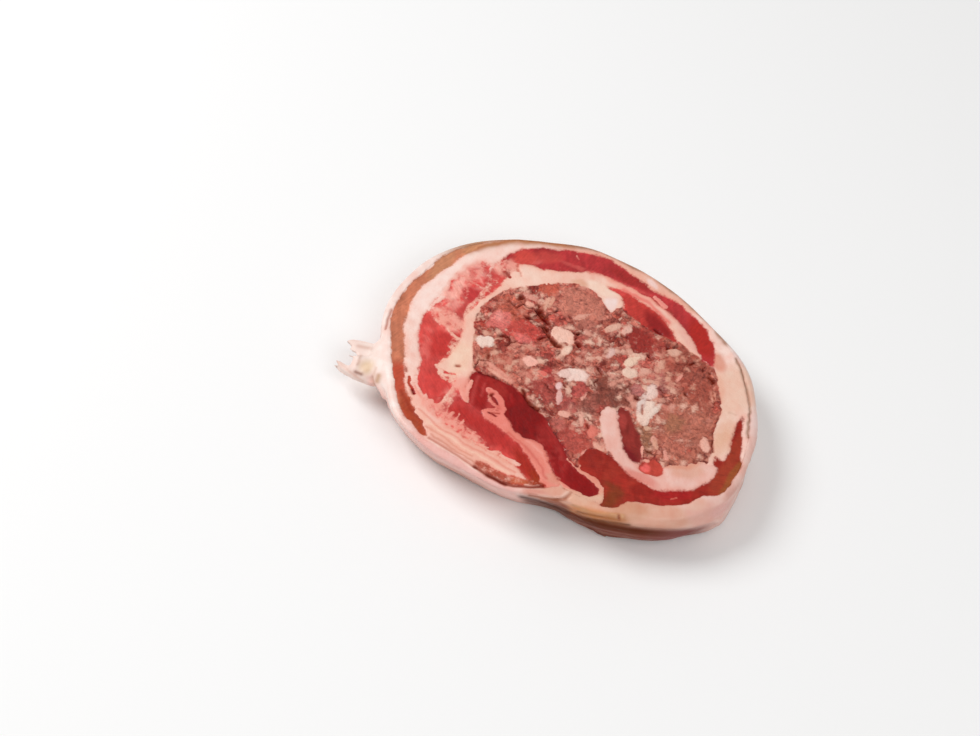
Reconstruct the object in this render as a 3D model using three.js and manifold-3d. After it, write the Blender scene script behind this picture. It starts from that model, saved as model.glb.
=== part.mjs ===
// A raw slice cut across a boned, stuffed and rolled veal breast, lying flat on one of its two cut faces.
// Millimetres, +Z up. The outlines are drawn on the upper cut face, X along the longer way of the slice.
// The finished group is moved so that its origin is under the middle of the slice.

import * as THREE from "three";
import { ImprovedNoise } from "three/addons/math/ImprovedNoise.js";
import { mergeVertices } from "three/addons/utils/BufferGeometryUtils.js";
import Module from "manifold-3d";

const wasm = await Module();
wasm.setup();

// Driving dimensions
const THICKNESS = 20; // from cut face to cut face
const LAYER_GAP = 0.3; // between two layers that touch
const OVER = 5; // how far the cutting shapes reach past the cut faces
const EDGE_STEP = 3.4; // length of one side along an outline
const COARSE_GRID = 4.2; // relief of the smooth layers
const FINE_GRID = 2.2; // relief of the minced stuffing
const WAVE_HEIGHT = 0.5; // slow waves over the whole cut face
const WAVE_LENGTH = 34;
const WALL_ROWS = 7; // rows of faces down the outer wall
const WALL_EDGE_SHARE = 0.5; // rounding at the upper cut face, as a share of the cover's thickness there
const WALL_EDGE_MOST = 5;
const WALL_FOOT_SHARE = 0.5; // rounding at the underside, likewise
const WALL_FOOT_MOST = 2.6;
const WALL_BULGE_SHARE = 0.12; // how far the middle of the wall stands out past its ends, likewise
const WALL_FOLD_SHARE = 0.1; // height of the shallow folds in the wall, likewise
const WALL_FOLD_MOST = 0.5;
const FOLD_LAP = 0.8; // step where the cover's two ends lap over each other
const FOLD_LAP_START = -68; // degrees round the slice, to where the lap fades out
const FOLD_LAP_END = -8;
const FOLD_LAP_TAPER = -52; // from here on it gets lower
const FOLD_LAP_EDGE = 4; // over how many degrees it rises
const WALL_FOLDS_AROUND = [7, 11]; // the two waves that cross to make the folds
const WALL_FOLD_SLANTS = [5, 7]; // their lengths down the wall
const UNDERCUT = 9.5; // how far the near side leans in from the upper to the lower face
const UNDERCUT_LEFT = [-78, -44]; // from none to all of it along X
const UNDERCUT_RIGHT = [10, 48]; // and back to none
const UNDERCUT_NEAR = [-58, 28]; // from all to none along Y
const MINCE_SIZE = 5.2; // spacing of the pieces in the stuffing
const MINCE_HEIGHT = 0.9;
const MINCE_SHAKE = 0.7; // how far a piece moves within its cell, as a share of the spacing
const MINCE_RADIUS = [0.45, 0.75]; // smallest and largest, as shares of the spacing
const PIECE_HEIGHT = 0.8; // how far a large piece in the stuffing stands up
const CREVICE_DEPTH = 1.5;
const CREVICE_WIDTH = 1.5;

// The widest line of the outer wall.
const WALL = [
  [-79, -2], [-78, 10], [-74.6, 23], [-66, 36], [-54, 46.8], [-39, 55.2], [-23, 61.8], [-7, 63.1],
  [10.4, 62], [26, 57.8], [41, 51.4], [55.6, 44.8], [66.5, 34], [75.5, 17.5], [80, 1], [81, -15],
  [79, -27], [71, -38], [59, -47.3], [44, -52.6], [29, -55], [19, -58.4], [8, -63.4], [-6, -64.4],
  [-27, -63.9], [-44, -58.8], [-56, -48.8], [-67, -33], [-76, -16],
];

// The meat inside the cover, as far as the cover's inner edge.
const FACE = [
  [-74.6, 0], [-73.3, 10], [-70, 25], [-63, 36], [-52, 46.2], [-38, 53.6], [-22, 60.4], [-6, 61.6],
  [10, 60.5], [25, 56.5], [40, 50], [50, 45], [57, 39.8], [65, 28.5], [71, 18.5], [75, 8],
  [77.6, -5], [77.4, -17], [75, -23], [70.4, -25.5], [67, -32], [60, -37.2], [52, -40.8], [47, -43.5],
  [45, -48.5], [40, -50.2], [36, -49.8], [31, -50.8], [24, -50.8], [18, -54.6], [9, -60.3],
  [-2, -61.8], [-20, -60.4], [-34, -58.5], [-46, -52.2], [-57, -39.4], [-66, -26], [-72.6, -14],
];

const OUTER_LEAN = [
  [-60, 41.5], [-66, 38], [-76, 22], [-80, 0], [-78, -18], [-66, -34], [-52, -52], [-40, -62],
  [-31, -57], [-36, -52.4], [-45, -47.2], [-52, -39.5], [-60, -26.5], [-66.5, -15], [-69.8, -4], [-70, 6],
  [-67.5, 17], [-63.6, 29],
];

const SIDE_LEAN = [
  [-46, 38], [-53, 29], [-59, 19], [-62, 6], [-61.4, -6], [-58, -18], [-51, -29.5], [-46.6, -39.5],
  [-38, -44.5], [-28, -49], [-10, -51.2], [5, -51.8], [11, -54.5], [18, -55.2], [24, -47], [10, -30],
  [0, 0], [-20, 30],
];

const SEAM_FAT = [
  [-49.4, 36], [-44, 31], [-43.2, 24], [-45.6, 15], [-49.6, 6.5], [-46.6, -2], [-43.2, -13], [-44, -22],
  [-44.4, -26.6], [-37, -29.6], [-32.6, -33], [-26, -36.4], [-20, -28], [-10, 0], [10, 20], [30, 28],
  [45.5, 33.4], [39, 42], [22, 51.5], [0, 55], [-20, 53], [-38, 44.5],
];

const TOP_LEAN = [
  [-48.8, 35.2], [-45.4, 44], [-34, 52.6], [-20, 58.4], [-7, 59.7], [3, 57.9], [10, 56], [23, 54.9],
  [33, 50.8], [42, 45], [47.2, 37.5], [48.4, 31], [43, 34.6], [35, 41.6], [25, 47.2], [12, 51],
  [-4, 52], [-15, 49.8], [-25, 44.4], [-34, 40.6], [-42, 38.2],
];

const LOWER_SEAM = [
  [-17.4, -37.4], [-12, -35.4], [-8, -35.2], [-3, -37.8], [8, -38.4], [14, -43], [22.6, -49.6],
  [17.6, -54], [12.4, -49.6], [4, -44], [-3, -41.2], [-9, -39.6], [-14, -38.9],
];

const STUFFING = [
  [-31.6, 30.6], [-24, 36.8], [-14, 41.6], [-5, 40.2], [0, 35], [5, 42], [20, 41], [29, 37.4],
  [38, 34.6], [48.6, 32.8], [52.6, 27.6], [59, 16.6], [62.4, 4], [65.6, -6.2], [66, -12], [56, -24],
  [42, -26], [30, -31], [26, -40], [14, -36], [0, -27], [-15, -22], [-31.4, -20.4], [-35, -14.6],
  [-39.6, -5.6], [-44.8, 5], [-42.6, 17], [-39.6, 23],
];

const INNER_LEAN = [
  [-6, 47.6], [1, 49], [10, 46.8], [21, 44], [26.6, 40.2], [30.6, 36.4], [25.6, 36], [14, 37],
  [6, 39.6], [1.6, 44.6],
];

const LOWER_LEAN = [
  [-31.4, -20.8], [-20, -19.7], [-10, -20.2], [-4, -24], [2, -25.2], [9, -30.6], [15.6, -34.4],
  [20, -39.2], [31, -41], [40, -44], [40, -53], [29, -53], [21.4, -48.8], [13, -42], [8, -38.4],
  [-3, -37.8], [-9.5, -34.6], [-15, -37.6], [-26, -35.2], [-30, -27.4],
];

const RIGHT_LEAN = [
  [69.2, 17.6], [72, 9.6], [75.4, 0], [79, -5], [79, -20], [72, -28], [62, -38.4], [49, -46],
  [46, -53], [38.4, -53], [37.4, -48], [37, -43.2], [30, -40.8], [23.4, -38.2], [25.4, -28.4],
  [33, -28.4], [46, -32.6], [54, -32], [64, -26.4], [70, -17.2], [71.6, -11.6], [66.6, -7.4],
  [71, -5.6], [69, 6],
];

const HOOK_FAT = [
  [21.6, -7.8], [25.2, -8.2], [29.6, -14.4], [35.4, -21.2], [42, -23.4], [46.4, -23.6], [51, -25],
  [53.4, -20.6], [58.6, -16.6], [64.6, -12], [70.4, -10.2], [70.8, -15.4], [66.4, -23.8],
  [60, -29.3], [52, -32.8], [42, -31.2], [31.4, -26.6], [24, -18.2], [20.6, -12.6],
];

const HOOK_STRIP = [
  [26, -8.8], [27.2, -4.4], [33, -9.2], [39, -14.8], [42.8, -20.4], [44.4, -25.2], [38, -24.4],
  [32, -17.6],
];

const HOOK_NUB = [
  [45.4, -22.4], [48.6, -20.2], [52.4, -22], [53.2, -25.4], [49.4, -28], [45.6, -26.6],
];

// Large pieces that show in the stuffing: middle, half length, half width and turn in degrees.
const STUFFING_PIECES = [
  { at: [-10.5, 14], half: [4.6, 3.6], turn: -15 },
  { at: [4, -0.6], half: [4.4, 3.4], turn: 10 },
  { at: [-34.6, -5.6], half: [3.8, 3.2], turn: 30 },
  { at: [-5, 7.6], half: [3.2, 2], turn: 80 },
  { at: [35.4, -2.4], half: [6.4, 3.4], turn: 100 },
  { at: [19.4, 17.4], half: [4.2, 2.2], turn: 60 },
  { at: [21.6, 12], half: [3.4, 2.8], turn: 20 },
  { at: [11, 30.6], half: [3.4, 2.1], turn: 100 },
  { at: [31.6, 31.4], half: [2.6, 2.2], turn: 30 },
  { at: [5.4, 28.6], half: [4, 2], turn: 55 },
  { at: [-8, 26.6], half: [3.6, 1.6], turn: 50 },
  { at: [3, -14], half: [5, 1.8], turn: 110 },
  { at: [8.6, -20], half: [3, 1.8], turn: 15 },
  { at: [61.6, -3.4], half: [3.6, 2.2], turn: 115 },
  { at: [44, -12.4], half: [3.2, 1.8], turn: 120 },
  { at: [-34.6, 7], half: [5, 4.6], turn: 60 },
  { at: [-24.4, 6.8], half: [6.6, 5.6], turn: 0 },
  { at: [17.6, 29], half: [5.6, 4.4], turn: -30 },
  { at: [-14.6, -4.6], half: [3.2, 2.2], turn: 10 },
  { at: [33, 7.8], half: [4, 2.4], turn: 100 },
];

// Cracks between the pieces of the stuffing, each from end to end.
const CREVICES = [
  [[-24.4, 22], [-18, 16.4]],
  [[-17.6, 13.6], [-15.4, 11]],
  [[-14, 9.6], [-7.6, 9.2]],
  [[-33.4, 22.4], [-34, 20]],
  [[-32, 12.8], [-25.6, 15.4]],
  [[-4.8, 18.4], [-2.6, 13.8]],
  [[27.6, 31.6], [29.6, 33.2]],
  [[49, 29.6], [51.4, 25.4]],
  [[55, 20.4], [58, 14.4]],
  [[62.6, 0.6], [65, -4.8]],
  [[42.4, -17.2], [46, -18.2]],
  [[-11, -19], [-4, -23.2]],
];

// The ragged tag of membrane on the wall: middle, half sizes, then turns about X, Y and Z in degrees.
const TAG_LOBES = [
  { at: [-67.4, -38.4, 12.4], half: [5.4, 7, 4.6], turn: [0, 10, -28] },
  { at: [-75, -30.6, 14], half: [7.4, 2.8, 1.3], turn: [12, -10, 4] },
  { at: [-72.4, -42.4, 11], half: [11.4, 2, 1.5], turn: [0, -9, -5] },
];
const TAG_SIDES = 8;
const TAG_RINGS = 5;

const noise = new ImprovedNoise();
const radians = THREE.MathUtils.degToRad;
const { smoothstep, lerp } = THREE.MathUtils;

// A number from 0 to 1 that is always the same for the same cell.
function cellRandom(column, row, salt) {
  const scattered = Math.sin(column * 127.1 + row * 311.7 + salt * 74.7) * 43758.5453;
  return scattered - Math.floor(scattered);
}

// Slow waves of the cut face.
function wave(x, y) {
  return WAVE_HEIGHT * noise.noise(x / WAVE_LENGTH, y / WAVE_LENGTH, 0.5);
}

// Height of the rounded pieces of mince, one in each cell of a shaken grid.
function mince(x, y) {
  const column = Math.floor(x / MINCE_SIZE);
  const row = Math.floor(y / MINCE_SIZE);
  let height = 0;
  for (let i = column - 1; i <= column + 1; i += 1) {
    for (let j = row - 1; j <= row + 1; j += 1) {
      const middleX = (i + 0.5 + MINCE_SHAKE * (cellRandom(i, j, 1) - 0.5)) * MINCE_SIZE;
      const middleY = (j + 0.5 + MINCE_SHAKE * (cellRandom(i, j, 2) - 0.5)) * MINCE_SIZE;
      const radius = MINCE_SIZE * lerp(...MINCE_RADIUS, cellRandom(i, j, 3));
      const away = Math.hypot(x - middleX, y - middleY) / radius;
      const top = MINCE_HEIGHT * lerp(0.5, 1, cellRandom(i, j, 4));
      height = Math.max(height, top * Math.sqrt(Math.max(0, 1 - away * away)));
    }
  }
  return height - MINCE_HEIGHT / 2;
}

// Height of the large pieces, each a low dome with its own outline.
function largePieces(x, y) {
  let height = 0;
  for (const piece of STUFFING_PIECES) {
    const turn = radians(piece.turn);
    const dx = x - piece.at[0];
    const dy = y - piece.at[1];
    const along = (dx * Math.cos(turn) + dy * Math.sin(turn)) / piece.half[0];
    const across = (-dx * Math.sin(turn) + dy * Math.cos(turn)) / piece.half[1];
    const dome = Math.sqrt(Math.max(0, 1 - along * along - across * across));
    height = Math.max(height, PIECE_HEIGHT * dome);
  }
  return height;
}

// Depth of the cracks, deepest on the line from one end to the other.
function crevices(x, y) {
  let depth = 0;
  for (const [[startX, startY], [endX, endY]] of CREVICES) {
    const runX = endX - startX;
    const runY = endY - startY;
    const share = ((x - startX) * runX + (y - startY) * runY) / (runX * runX + runY * runY);
    const along = THREE.MathUtils.clamp(share, 0, 1);
    const away = Math.hypot(x - startX - along * runX, y - startY - along * runY);
    depth = Math.max(depth, CREVICE_DEPTH * (1 - smoothstep(away, 0, CREVICE_WIDTH)));
  }
  return depth;
}

// The near side of the slice leans in towards its foot, because the roll was cut at a slant.
function leanIn(x, y, z) {
  const sideways = smoothstep(x, ...UNDERCUT_LEFT) * (1 - smoothstep(x, ...UNDERCUT_RIGHT));
  const near = 1 - smoothstep(y, ...UNDERCUT_NEAR);
  return y + UNDERCUT * sideways * near * (1 - z / THICKNESS);
}

// A closed smooth curve through the points, as points about one edge step apart.
function smoothOutline(points) {
  const corners = points.map(([x, y]) => new THREE.Vector3(x, y, 0));
  const curve = new THREE.CatmullRomCurve3(corners, true, "centripetal");
  const count = Math.round(curve.getLength() / EDGE_STEP);
  return curve.getSpacedPoints(count).slice(0, count).map((p) => new THREE.Vector2(p.x, p.y));
}

// The outline moved outwards by a distance, or inwards where that is negative. Its sides stay parallel.
function offsetOutline(outline, distance) {
  const turnsLeft = THREE.ShapeUtils.isClockWise(outline) ? -1 : 1;
  return outline.map((point, i) => {
    const before = outline[(i + outline.length - 1) % outline.length];
    const after = outline[(i + 1) % outline.length];
    const arriving = point.clone().sub(before).normalize();
    const leaving = after.clone().sub(point).normalize();
    const along = arriving.clone().add(leaving);
    const reach = distance * turnsLeft / Math.max(0.5, 1 + arriving.dot(leaving));
    return new THREE.Vector2(point.x + along.y * reach, point.y - along.x * reach);
  });
}

// A three.js geometry as a solid.
function toSolid(geometry) {
  const bare = geometry.clone();
  bare.deleteAttribute("normal");
  bare.deleteAttribute("uv");
  const merged = mergeVertices(bare, 1e-4);
  return new wasm.Manifold(new wasm.Mesh({
    numProp: 3,
    vertProperties: merged.attributes.position.array,
    triVerts: new Uint32Array(merged.index.array),
  }));
}

// A solid as a three.js geometry.
function toGeometry(solid) {
  const mesh = solid.getMesh();
  const geometry = new THREE.BufferGeometry();
  geometry.setAttribute("position", new THREE.BufferAttribute(new Float32Array(mesh.vertProperties), 3));
  geometry.setIndex(new THREE.BufferAttribute(new Uint32Array(mesh.triVerts), 1));
  return geometry;
}

// Moves every vertex of a geometry to where a function puts it.
function moveVertices(geometry, place) {
  const position = geometry.attributes.position;
  const point = new THREE.Vector3();
  for (let i = 0; i < position.count; i += 1) {
    point.fromBufferAttribute(position, i);
    place(point);
    position.setXYZ(i, point.x, point.y, point.z);
  }
  return geometry;
}

// An upright prism over an outline, from a height at or below the underside to above the upper face.
function prism(outline, foot) {
  const geometry = new THREE.ExtrudeGeometry(new THREE.Shape(outline), {
    depth: THICKNESS + OVER - foot,
    bevelEnabled: false,
    steps: 1,
  });
  return toSolid(geometry.translate(0, 0, foot));
}

// A slab over the outline's box whose upper side has the relief of the layer.
// Its lower side is out of the way below the underside.
function reliefSlab(outline, grid, height) {
  const box = new THREE.Box2().setFromPoints(outline).expandByScalar(grid);
  const size = box.getSize(new THREE.Vector2());
  const middle = box.getCenter(new THREE.Vector2());
  const columns = Math.ceil(size.x / grid);
  const rows = Math.ceil(size.y / grid);
  const geometry = new THREE.BoxGeometry(size.x, size.y, THICKNESS + OVER, columns, rows, 1);
  geometry.translate(middle.x, middle.y, (THICKNESS - OVER) / 2);
  moveVertices(geometry, (p) => {
    if (p.z > THICKNESS / 2) p.z = THICKNESS + height(p.x, p.y);
  });
  return toSolid(geometry);
}

// The largest body of a cut solid. Scraps that the cuts leave are dropped.
function largestBody(solid) {
  const bodies = solid.decompose();
  return bodies.reduce((best, body) => (body.volume() > best.volume() ? body : best));
}

// How far an outline reaches from the middle in a direction.
function reachAt(outline, angle) {
  const towards = new THREE.Vector2(Math.cos(angle), Math.sin(angle));
  let reach = 0;
  outline.forEach((start, i) => {
    const end = outline[(i + 1) % outline.length];
    const startSide = towards.cross(start);
    const endSide = towards.cross(end);
    if (startSide * endSide <= 0 && startSide !== endSide) {
      const crossing = start.clone().lerp(end, startSide / (startSide - endSide));
      reach = Math.max(reach, crossing.dot(towards));
    }
  });
  return reach;
}

const wallOutline = smoothOutline(WALL);
const faceOutline = smoothOutline(FACE);

// How far the wall stands out from its widest line, by the angle round the slice and the depth
// below the upper face.
function wallOffset(angle, depth) {
  const cover = Math.max(0.5, reachAt(wallOutline, angle) - reachAt(faceOutline, angle));
  const edge = Math.min(WALL_EDGE_MOST, WALL_EDGE_SHARE * cover);
  const foot = Math.min(WALL_FOOT_MOST, WALL_FOOT_SHARE * cover);
  const fromTop = 1 - THREE.MathUtils.clamp(depth / edge, 0, 1);
  const fromFoot = 1 - THREE.MathUtils.clamp((THICKNESS - depth) / foot, 0, 1);
  const topRounding = edge * (1 - Math.sqrt(1 - fromTop * fromTop));
  const footRounding = foot * (1 - Math.sqrt(1 - fromFoot * fromFoot));
  const bulge = WALL_BULGE_SHARE * cover * (Math.sin(Math.PI * depth / THICKNESS) - 1);
  const foldHeight = Math.min(WALL_FOLD_MOST, WALL_FOLD_SHARE * cover);
  const rising = Math.sin(WALL_FOLDS_AROUND[0] * angle + depth / WALL_FOLD_SLANTS[0]);
  const falling = Math.sin(WALL_FOLDS_AROUND[1] * angle - depth / WALL_FOLD_SLANTS[1]);
  const folds = foldHeight * rising * falling;
  const degrees = THREE.MathUtils.radToDeg(angle);
  const lapRise = smoothstep(degrees, FOLD_LAP_START, FOLD_LAP_START + FOLD_LAP_EDGE);
  const lapFall = 1 - smoothstep(degrees, FOLD_LAP_TAPER, FOLD_LAP_END);
  return bulge + folds + FOLD_LAP * lapRise * lapFall - topRounding - footRounding;
}

// The whole slice as one rounded block, out to its outer wall.
function roundedBlock() {
  const geometry = new THREE.ExtrudeGeometry(new THREE.Shape(wallOutline), {
    depth: 1,
    bevelEnabled: false,
    steps: WALL_ROWS,
  });
  moveVertices(geometry, (p) => {
    const depth = THICKNESS * (0.5 + 0.5 * Math.cos(Math.PI * p.z));
    const angle = Math.atan2(p.y, p.x);
    const out = wallOffset(angle, depth);
    p.x += out * Math.cos(angle);
    p.y += out * Math.sin(angle);
    p.z = (THICKNESS - depth) * (1 + wave(p.x, p.y) / THICKNESS);
  });
  return toSolid(geometry);
}

// One rounded lobe of the ragged tag.
function tagLobe(lobe) {
  const geometry = new THREE.SphereGeometry(1, TAG_SIDES, TAG_RINGS);
  geometry.scale(...lobe.half);
  const turn = new THREE.Euler(...lobe.turn.map(radians));
  geometry.applyMatrix4(new THREE.Matrix4().makeRotationFromEuler(turn));
  geometry.translate(...lobe.at);
  return toSolid(geometry);
}

// The layers from the one painted first to the one painted last: a later one cuts into all before it.
const LAYERS = [
  { name: "outer_fat", points: FACE, colour: "#f0c8b8", rise: 0.25 },
  { name: "outer_lean", points: OUTER_LEAN, colour: "#b86a4c", rise: 0 },
  { name: "side_lean", points: SIDE_LEAN, colour: "#c4484a", rise: 0 },
  { name: "seam_fat", points: SEAM_FAT, colour: "#f2c4b2", rise: 0.3 },
  { name: "top_lean", points: TOP_LEAN, colour: "#b4383a", rise: -0.1 },
  { name: "lower_seam", points: LOWER_SEAM, colour: "#e08878", rise: 0.2 },
  { name: "stuffing", points: STUFFING, colour: "#b0605a", rise: -0.1, minced: true },
  { name: "inner_lean", points: INNER_LEAN, colour: "#a02a2a", rise: -0.1 },
  { name: "lower_lean", points: LOWER_LEAN, colour: "#8c1e1e", rise: -0.2 },
  { name: "right_lean", points: RIGHT_LEAN, colour: "#9c3028", rise: -0.1 },
  { name: "hook_fat", points: HOOK_FAT, colour: "#eebcae", rise: 0.35 },
  { name: "hook_strip", points: HOOK_STRIP, colour: "#8e2a2c", rise: 0 },
  { name: "hook_nub", points: HOOK_NUB, colour: "#c85048", rise: 0.4 },
];

// All the room that the layers have inside the cover.
const insideCover = prism(offsetOutline(faceOutline, -LAYER_GAP / 2), -OVER);

// One layer from cut face to cut face, cleared of the layers painted after it.
function layerSolid(layer, later) {
  const outline = smoothOutline(layer.points);
  const height = (x, y) => {
    const pieces = layer.minced ? mince(x, y) + largePieces(x, y) - crevices(x, y) : 0;
    return layer.rise + wave(x, y) + pieces;
  };
  let column = prism(outline, 0).intersect(insideCover);
  for (const other of later) {
    column = column.subtract(prism(offsetOutline(smoothOutline(other.points), LAYER_GAP), -OVER));
  }
  const slab = reliefSlab(outline, layer.minced ? FINE_GRID : COARSE_GRID, height);
  return largestBody(largestBody(column).intersect(slab));
}

// The cover: the pale skin and fat all round, with the ragged tag on its left.
function coverSolid() {
  let solid = roundedBlock();
  for (const lobe of TAG_LOBES) solid = solid.add(tagLobe(lobe));
  return largestBody(solid.subtract(prism(offsetOutline(faceOutline, LAYER_GAP / 2), -OVER)));
}

// A solid with the slant of the cut, as a named mesh.
function meatMesh(name, solid, colour, roughness) {
  const geometry = moveVertices(toGeometry(solid), (p) => {
    p.y = leanIn(p.x, p.y, p.z);
  });
  geometry.computeVertexNormals();
  const look = { color: colour, roughness, metalness: 0, flatShading: true };
  const mesh = new THREE.Mesh(geometry, new THREE.MeshStandardMaterial(look));
  mesh.name = name;
  return mesh;
}

const slice = new THREE.Group();
slice.add(meatMesh("cover", coverSolid(), "#f4e0d8", 0.45));
LAYERS.forEach((layer, i) => {
  slice.add(meatMesh(layer.name, layerSolid(layer, LAYERS.slice(i + 1)), layer.colour, 0.4));
});

const box = new THREE.Box3().setFromObject(slice);
slice.position.set(-(box.min.x + box.max.x) / 2, -(box.min.y + box.max.y) / 2, 0);

export default slice;
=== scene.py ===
"""A raw slice of a boned, stuffed and rolled veal breast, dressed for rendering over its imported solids."""

import math

import bmesh
import bpy
import numpy as np
from mathutils import Matrix, Vector


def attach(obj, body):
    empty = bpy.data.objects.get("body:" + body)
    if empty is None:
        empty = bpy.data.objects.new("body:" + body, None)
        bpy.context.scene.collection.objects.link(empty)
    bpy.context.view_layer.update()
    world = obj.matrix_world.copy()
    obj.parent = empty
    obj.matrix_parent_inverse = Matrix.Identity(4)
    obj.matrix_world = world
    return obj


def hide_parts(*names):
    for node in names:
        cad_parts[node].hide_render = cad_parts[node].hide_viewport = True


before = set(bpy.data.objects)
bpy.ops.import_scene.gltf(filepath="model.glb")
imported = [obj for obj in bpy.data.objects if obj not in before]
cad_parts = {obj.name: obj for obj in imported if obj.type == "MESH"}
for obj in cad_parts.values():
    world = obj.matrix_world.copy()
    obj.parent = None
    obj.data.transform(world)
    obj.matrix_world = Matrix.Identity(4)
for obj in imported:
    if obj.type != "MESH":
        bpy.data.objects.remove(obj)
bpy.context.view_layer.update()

# ---- Outer fat ----
# The fat under the cover, grown to it all round the roll. It is broad and nearly white on the left, thin
# along the back and creamy on the right, and on the near side it lies in many thin sheets with some lean.

# The roll was sliced at a slant, so every layer runs through from the upper cut face to the lower one
# and the near side leans in below. Each piece is first made upright over the plan of the upper face,
# in metres about the plan's own origin, and is given the slant at the end.
THICKNESS = 0.020
PLAN_ORIGIN = (0.000977, 0.000339)
UNDERCUT = 0.0095
# the solids keep a gap between them, which the pieces close: each wall goes out by this much
GAP_CLOSING = 0.00032
# a face counts as an upright wall where its normal rises less than this
WALL = 0.3


def rise(value, low, high):
    """0 below low, 1 above high, smooth between."""
    t = np.clip((np.asarray(value, float) - low) / (high - low), 0, 1)
    return t * t * (3 - 2 * t)


def slant(x, y, z):
    """How far the slanted cut moves a place to the back, in metres: most at the foot of the near side."""
    sideways = rise(x, -0.078, -0.044) * (1 - rise(x, 0.010, 0.048))
    near = 1 - rise(y, -0.058, 0.028)
    return UNDERCUT * sideways * near * (1 - z / THICKNESS)


def upright(points):
    """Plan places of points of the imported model. The slant depends on them, so they take some rounds."""
    x = points[:, 0] - PLAN_ORIGIN[0]
    slanted = points[:, 1] - PLAN_ORIGIN[1]
    z = points[:, 2]
    y = slanted.copy()
    for _ in range(14):
        y = slanted - slant(x, y, z)
    return np.stack([x, y, z], 1)


def places(mesh):
    co = np.zeros(len(mesh.vertices) * 3)
    mesh.vertices.foreach_get("co", co)
    return co.reshape(-1, 3)


def upright_solid(solid):
    """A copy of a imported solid, merged and without its slant."""
    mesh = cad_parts[solid].data.copy()
    mesh.vertices.foreach_set("co", upright(places(mesh)).ravel())
    body = bmesh.new()
    body.from_mesh(mesh)
    bmesh.ops.remove_doubles(body, verts=body.verts, dist=3e-6)
    bpy.data.meshes.remove(mesh)
    body.normal_update()
    return body


def widened(body, by=GAP_CLOSING):
    """Moves the upright walls out a little, so that neighbours meet without the gap of the solids."""
    moves = []
    for v in body.verts:
        walls = {tuple(round(c, 2) for c in f.normal) for f in v.link_faces if abs(f.normal.z) < WALL}
        total = sum((Vector(w) for w in walls), Vector())
        # two walls back to back, as at the tip of a thin blade, leave nowhere to go
        if total.length > 0.3:
            total.z = 0
            moves.append((v, total * (by * len(walls) / total.length_squared)))
    for v, move in moves:
        v.co += move
    return body


def column(solid, by=GAP_CLOSING):
    """The layer's plan as an upright column, 3 mm past both cut faces."""
    body = widened(upright_solid(solid), by)
    for v in body.verts:
        v.co.z = THICKNESS + 0.003 if v.co.z > THICKNESS / 2 else -0.003
    return body


def shown(name, body):
    """Puts a shape that was worked on into the scene."""
    mesh = bpy.data.meshes.new(name)
    body.to_mesh(mesh)
    body.free()
    piece = bpy.data.objects.new(name, mesh)
    bpy.context.scene.collection.objects.link(piece)
    return piece


def changed(piece, kind, **settings):
    """Applies one modifier to a piece."""
    modifier = piece.modifiers.new(kind.lower(), kind)
    for key, value in settings.items():
        setattr(modifier, key, value)
    bpy.context.view_layer.update()
    result = bpy.data.meshes.new_from_object(piece.evaluated_get(bpy.context.evaluated_depsgraph_get()))
    old = piece.data
    piece.modifiers.clear()
    piece.data = result
    bpy.data.meshes.remove(old)
    result.name = piece.name


def layer(name, solid, cell, by):
    """One layer: a slab with a fine grid on both cut faces, cut out along the layer's plan."""
    tool = shown("knife", column(solid, by))
    co = places(tool.data)
    low, high = co.min(0) - 2 * cell, co.max(0) + 2 * cell
    counts = [max(2, round((high[i] - low[i]) / cell)) for i in (0, 1)]
    middle = Matrix.Translation(((low[0] + high[0]) / 2, (low[1] + high[1]) / 2, 0))
    stretch = Matrix.Diagonal(((high[0] - low[0]) / 2, (high[1] - low[1]) / 2, 1, 1))
    body = bmesh.new()
    bmesh.ops.create_grid(body, x_segments=counts[0], y_segments=counts[1], size=1, matrix=middle @ stretch)
    grown = bmesh.ops.extrude_face_region(body, geom=body.faces[:])
    top = [g for g in grown["geom"] if isinstance(g, bmesh.types.BMVert)]
    bmesh.ops.translate(body, verts=top, vec=(0, 0, THICKNESS))
    bmesh.ops.recalc_face_normals(body, faces=body.faces)
    piece = shown(name, body)
    changed(piece, "BOOLEAN", operation="INTERSECT", solver="MANIFOLD", object=tool)
    bpy.data.objects.remove(tool)
    return piece


def linear(code):
    """An sRGB hex colour as linear light."""
    values = [int(code[i:i + 2], 16) / 255 for i in (1, 3, 5)]
    return np.array([v / 12.92 if v <= 0.04045 else ((v + 0.055) / 1.055) ** 2.4 for v in values])


def node(tree, kind, links=(), out=0, **settings):
    """Adds a node with its settings and links, to its sockets in order or by name, and gives an output."""
    made = tree.nodes.new("ShaderNode" + kind)
    for key, value in settings.items():
        setattr(made, key, value)
    for socket, source in links.items() if isinstance(links, dict) else enumerate(links):
        if isinstance(source, bpy.types.NodeSocket):
            tree.links.new(source, made.inputs[socket])
        else:
            made.inputs[socket].default_value = source
    return made.outputs[out] if made.outputs else None


# Raw meat as the knife leaves it: lean and fat meet in a ragged line, and a thin film of juice gives
# both a soft gloss. Lean is finely fibrous, and fat is waxy and blushes where it borders on the lean.
# BLUSH is what it does to the colour of fat.
BLUSH = (0.97, 0.80, 0.76)


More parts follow.
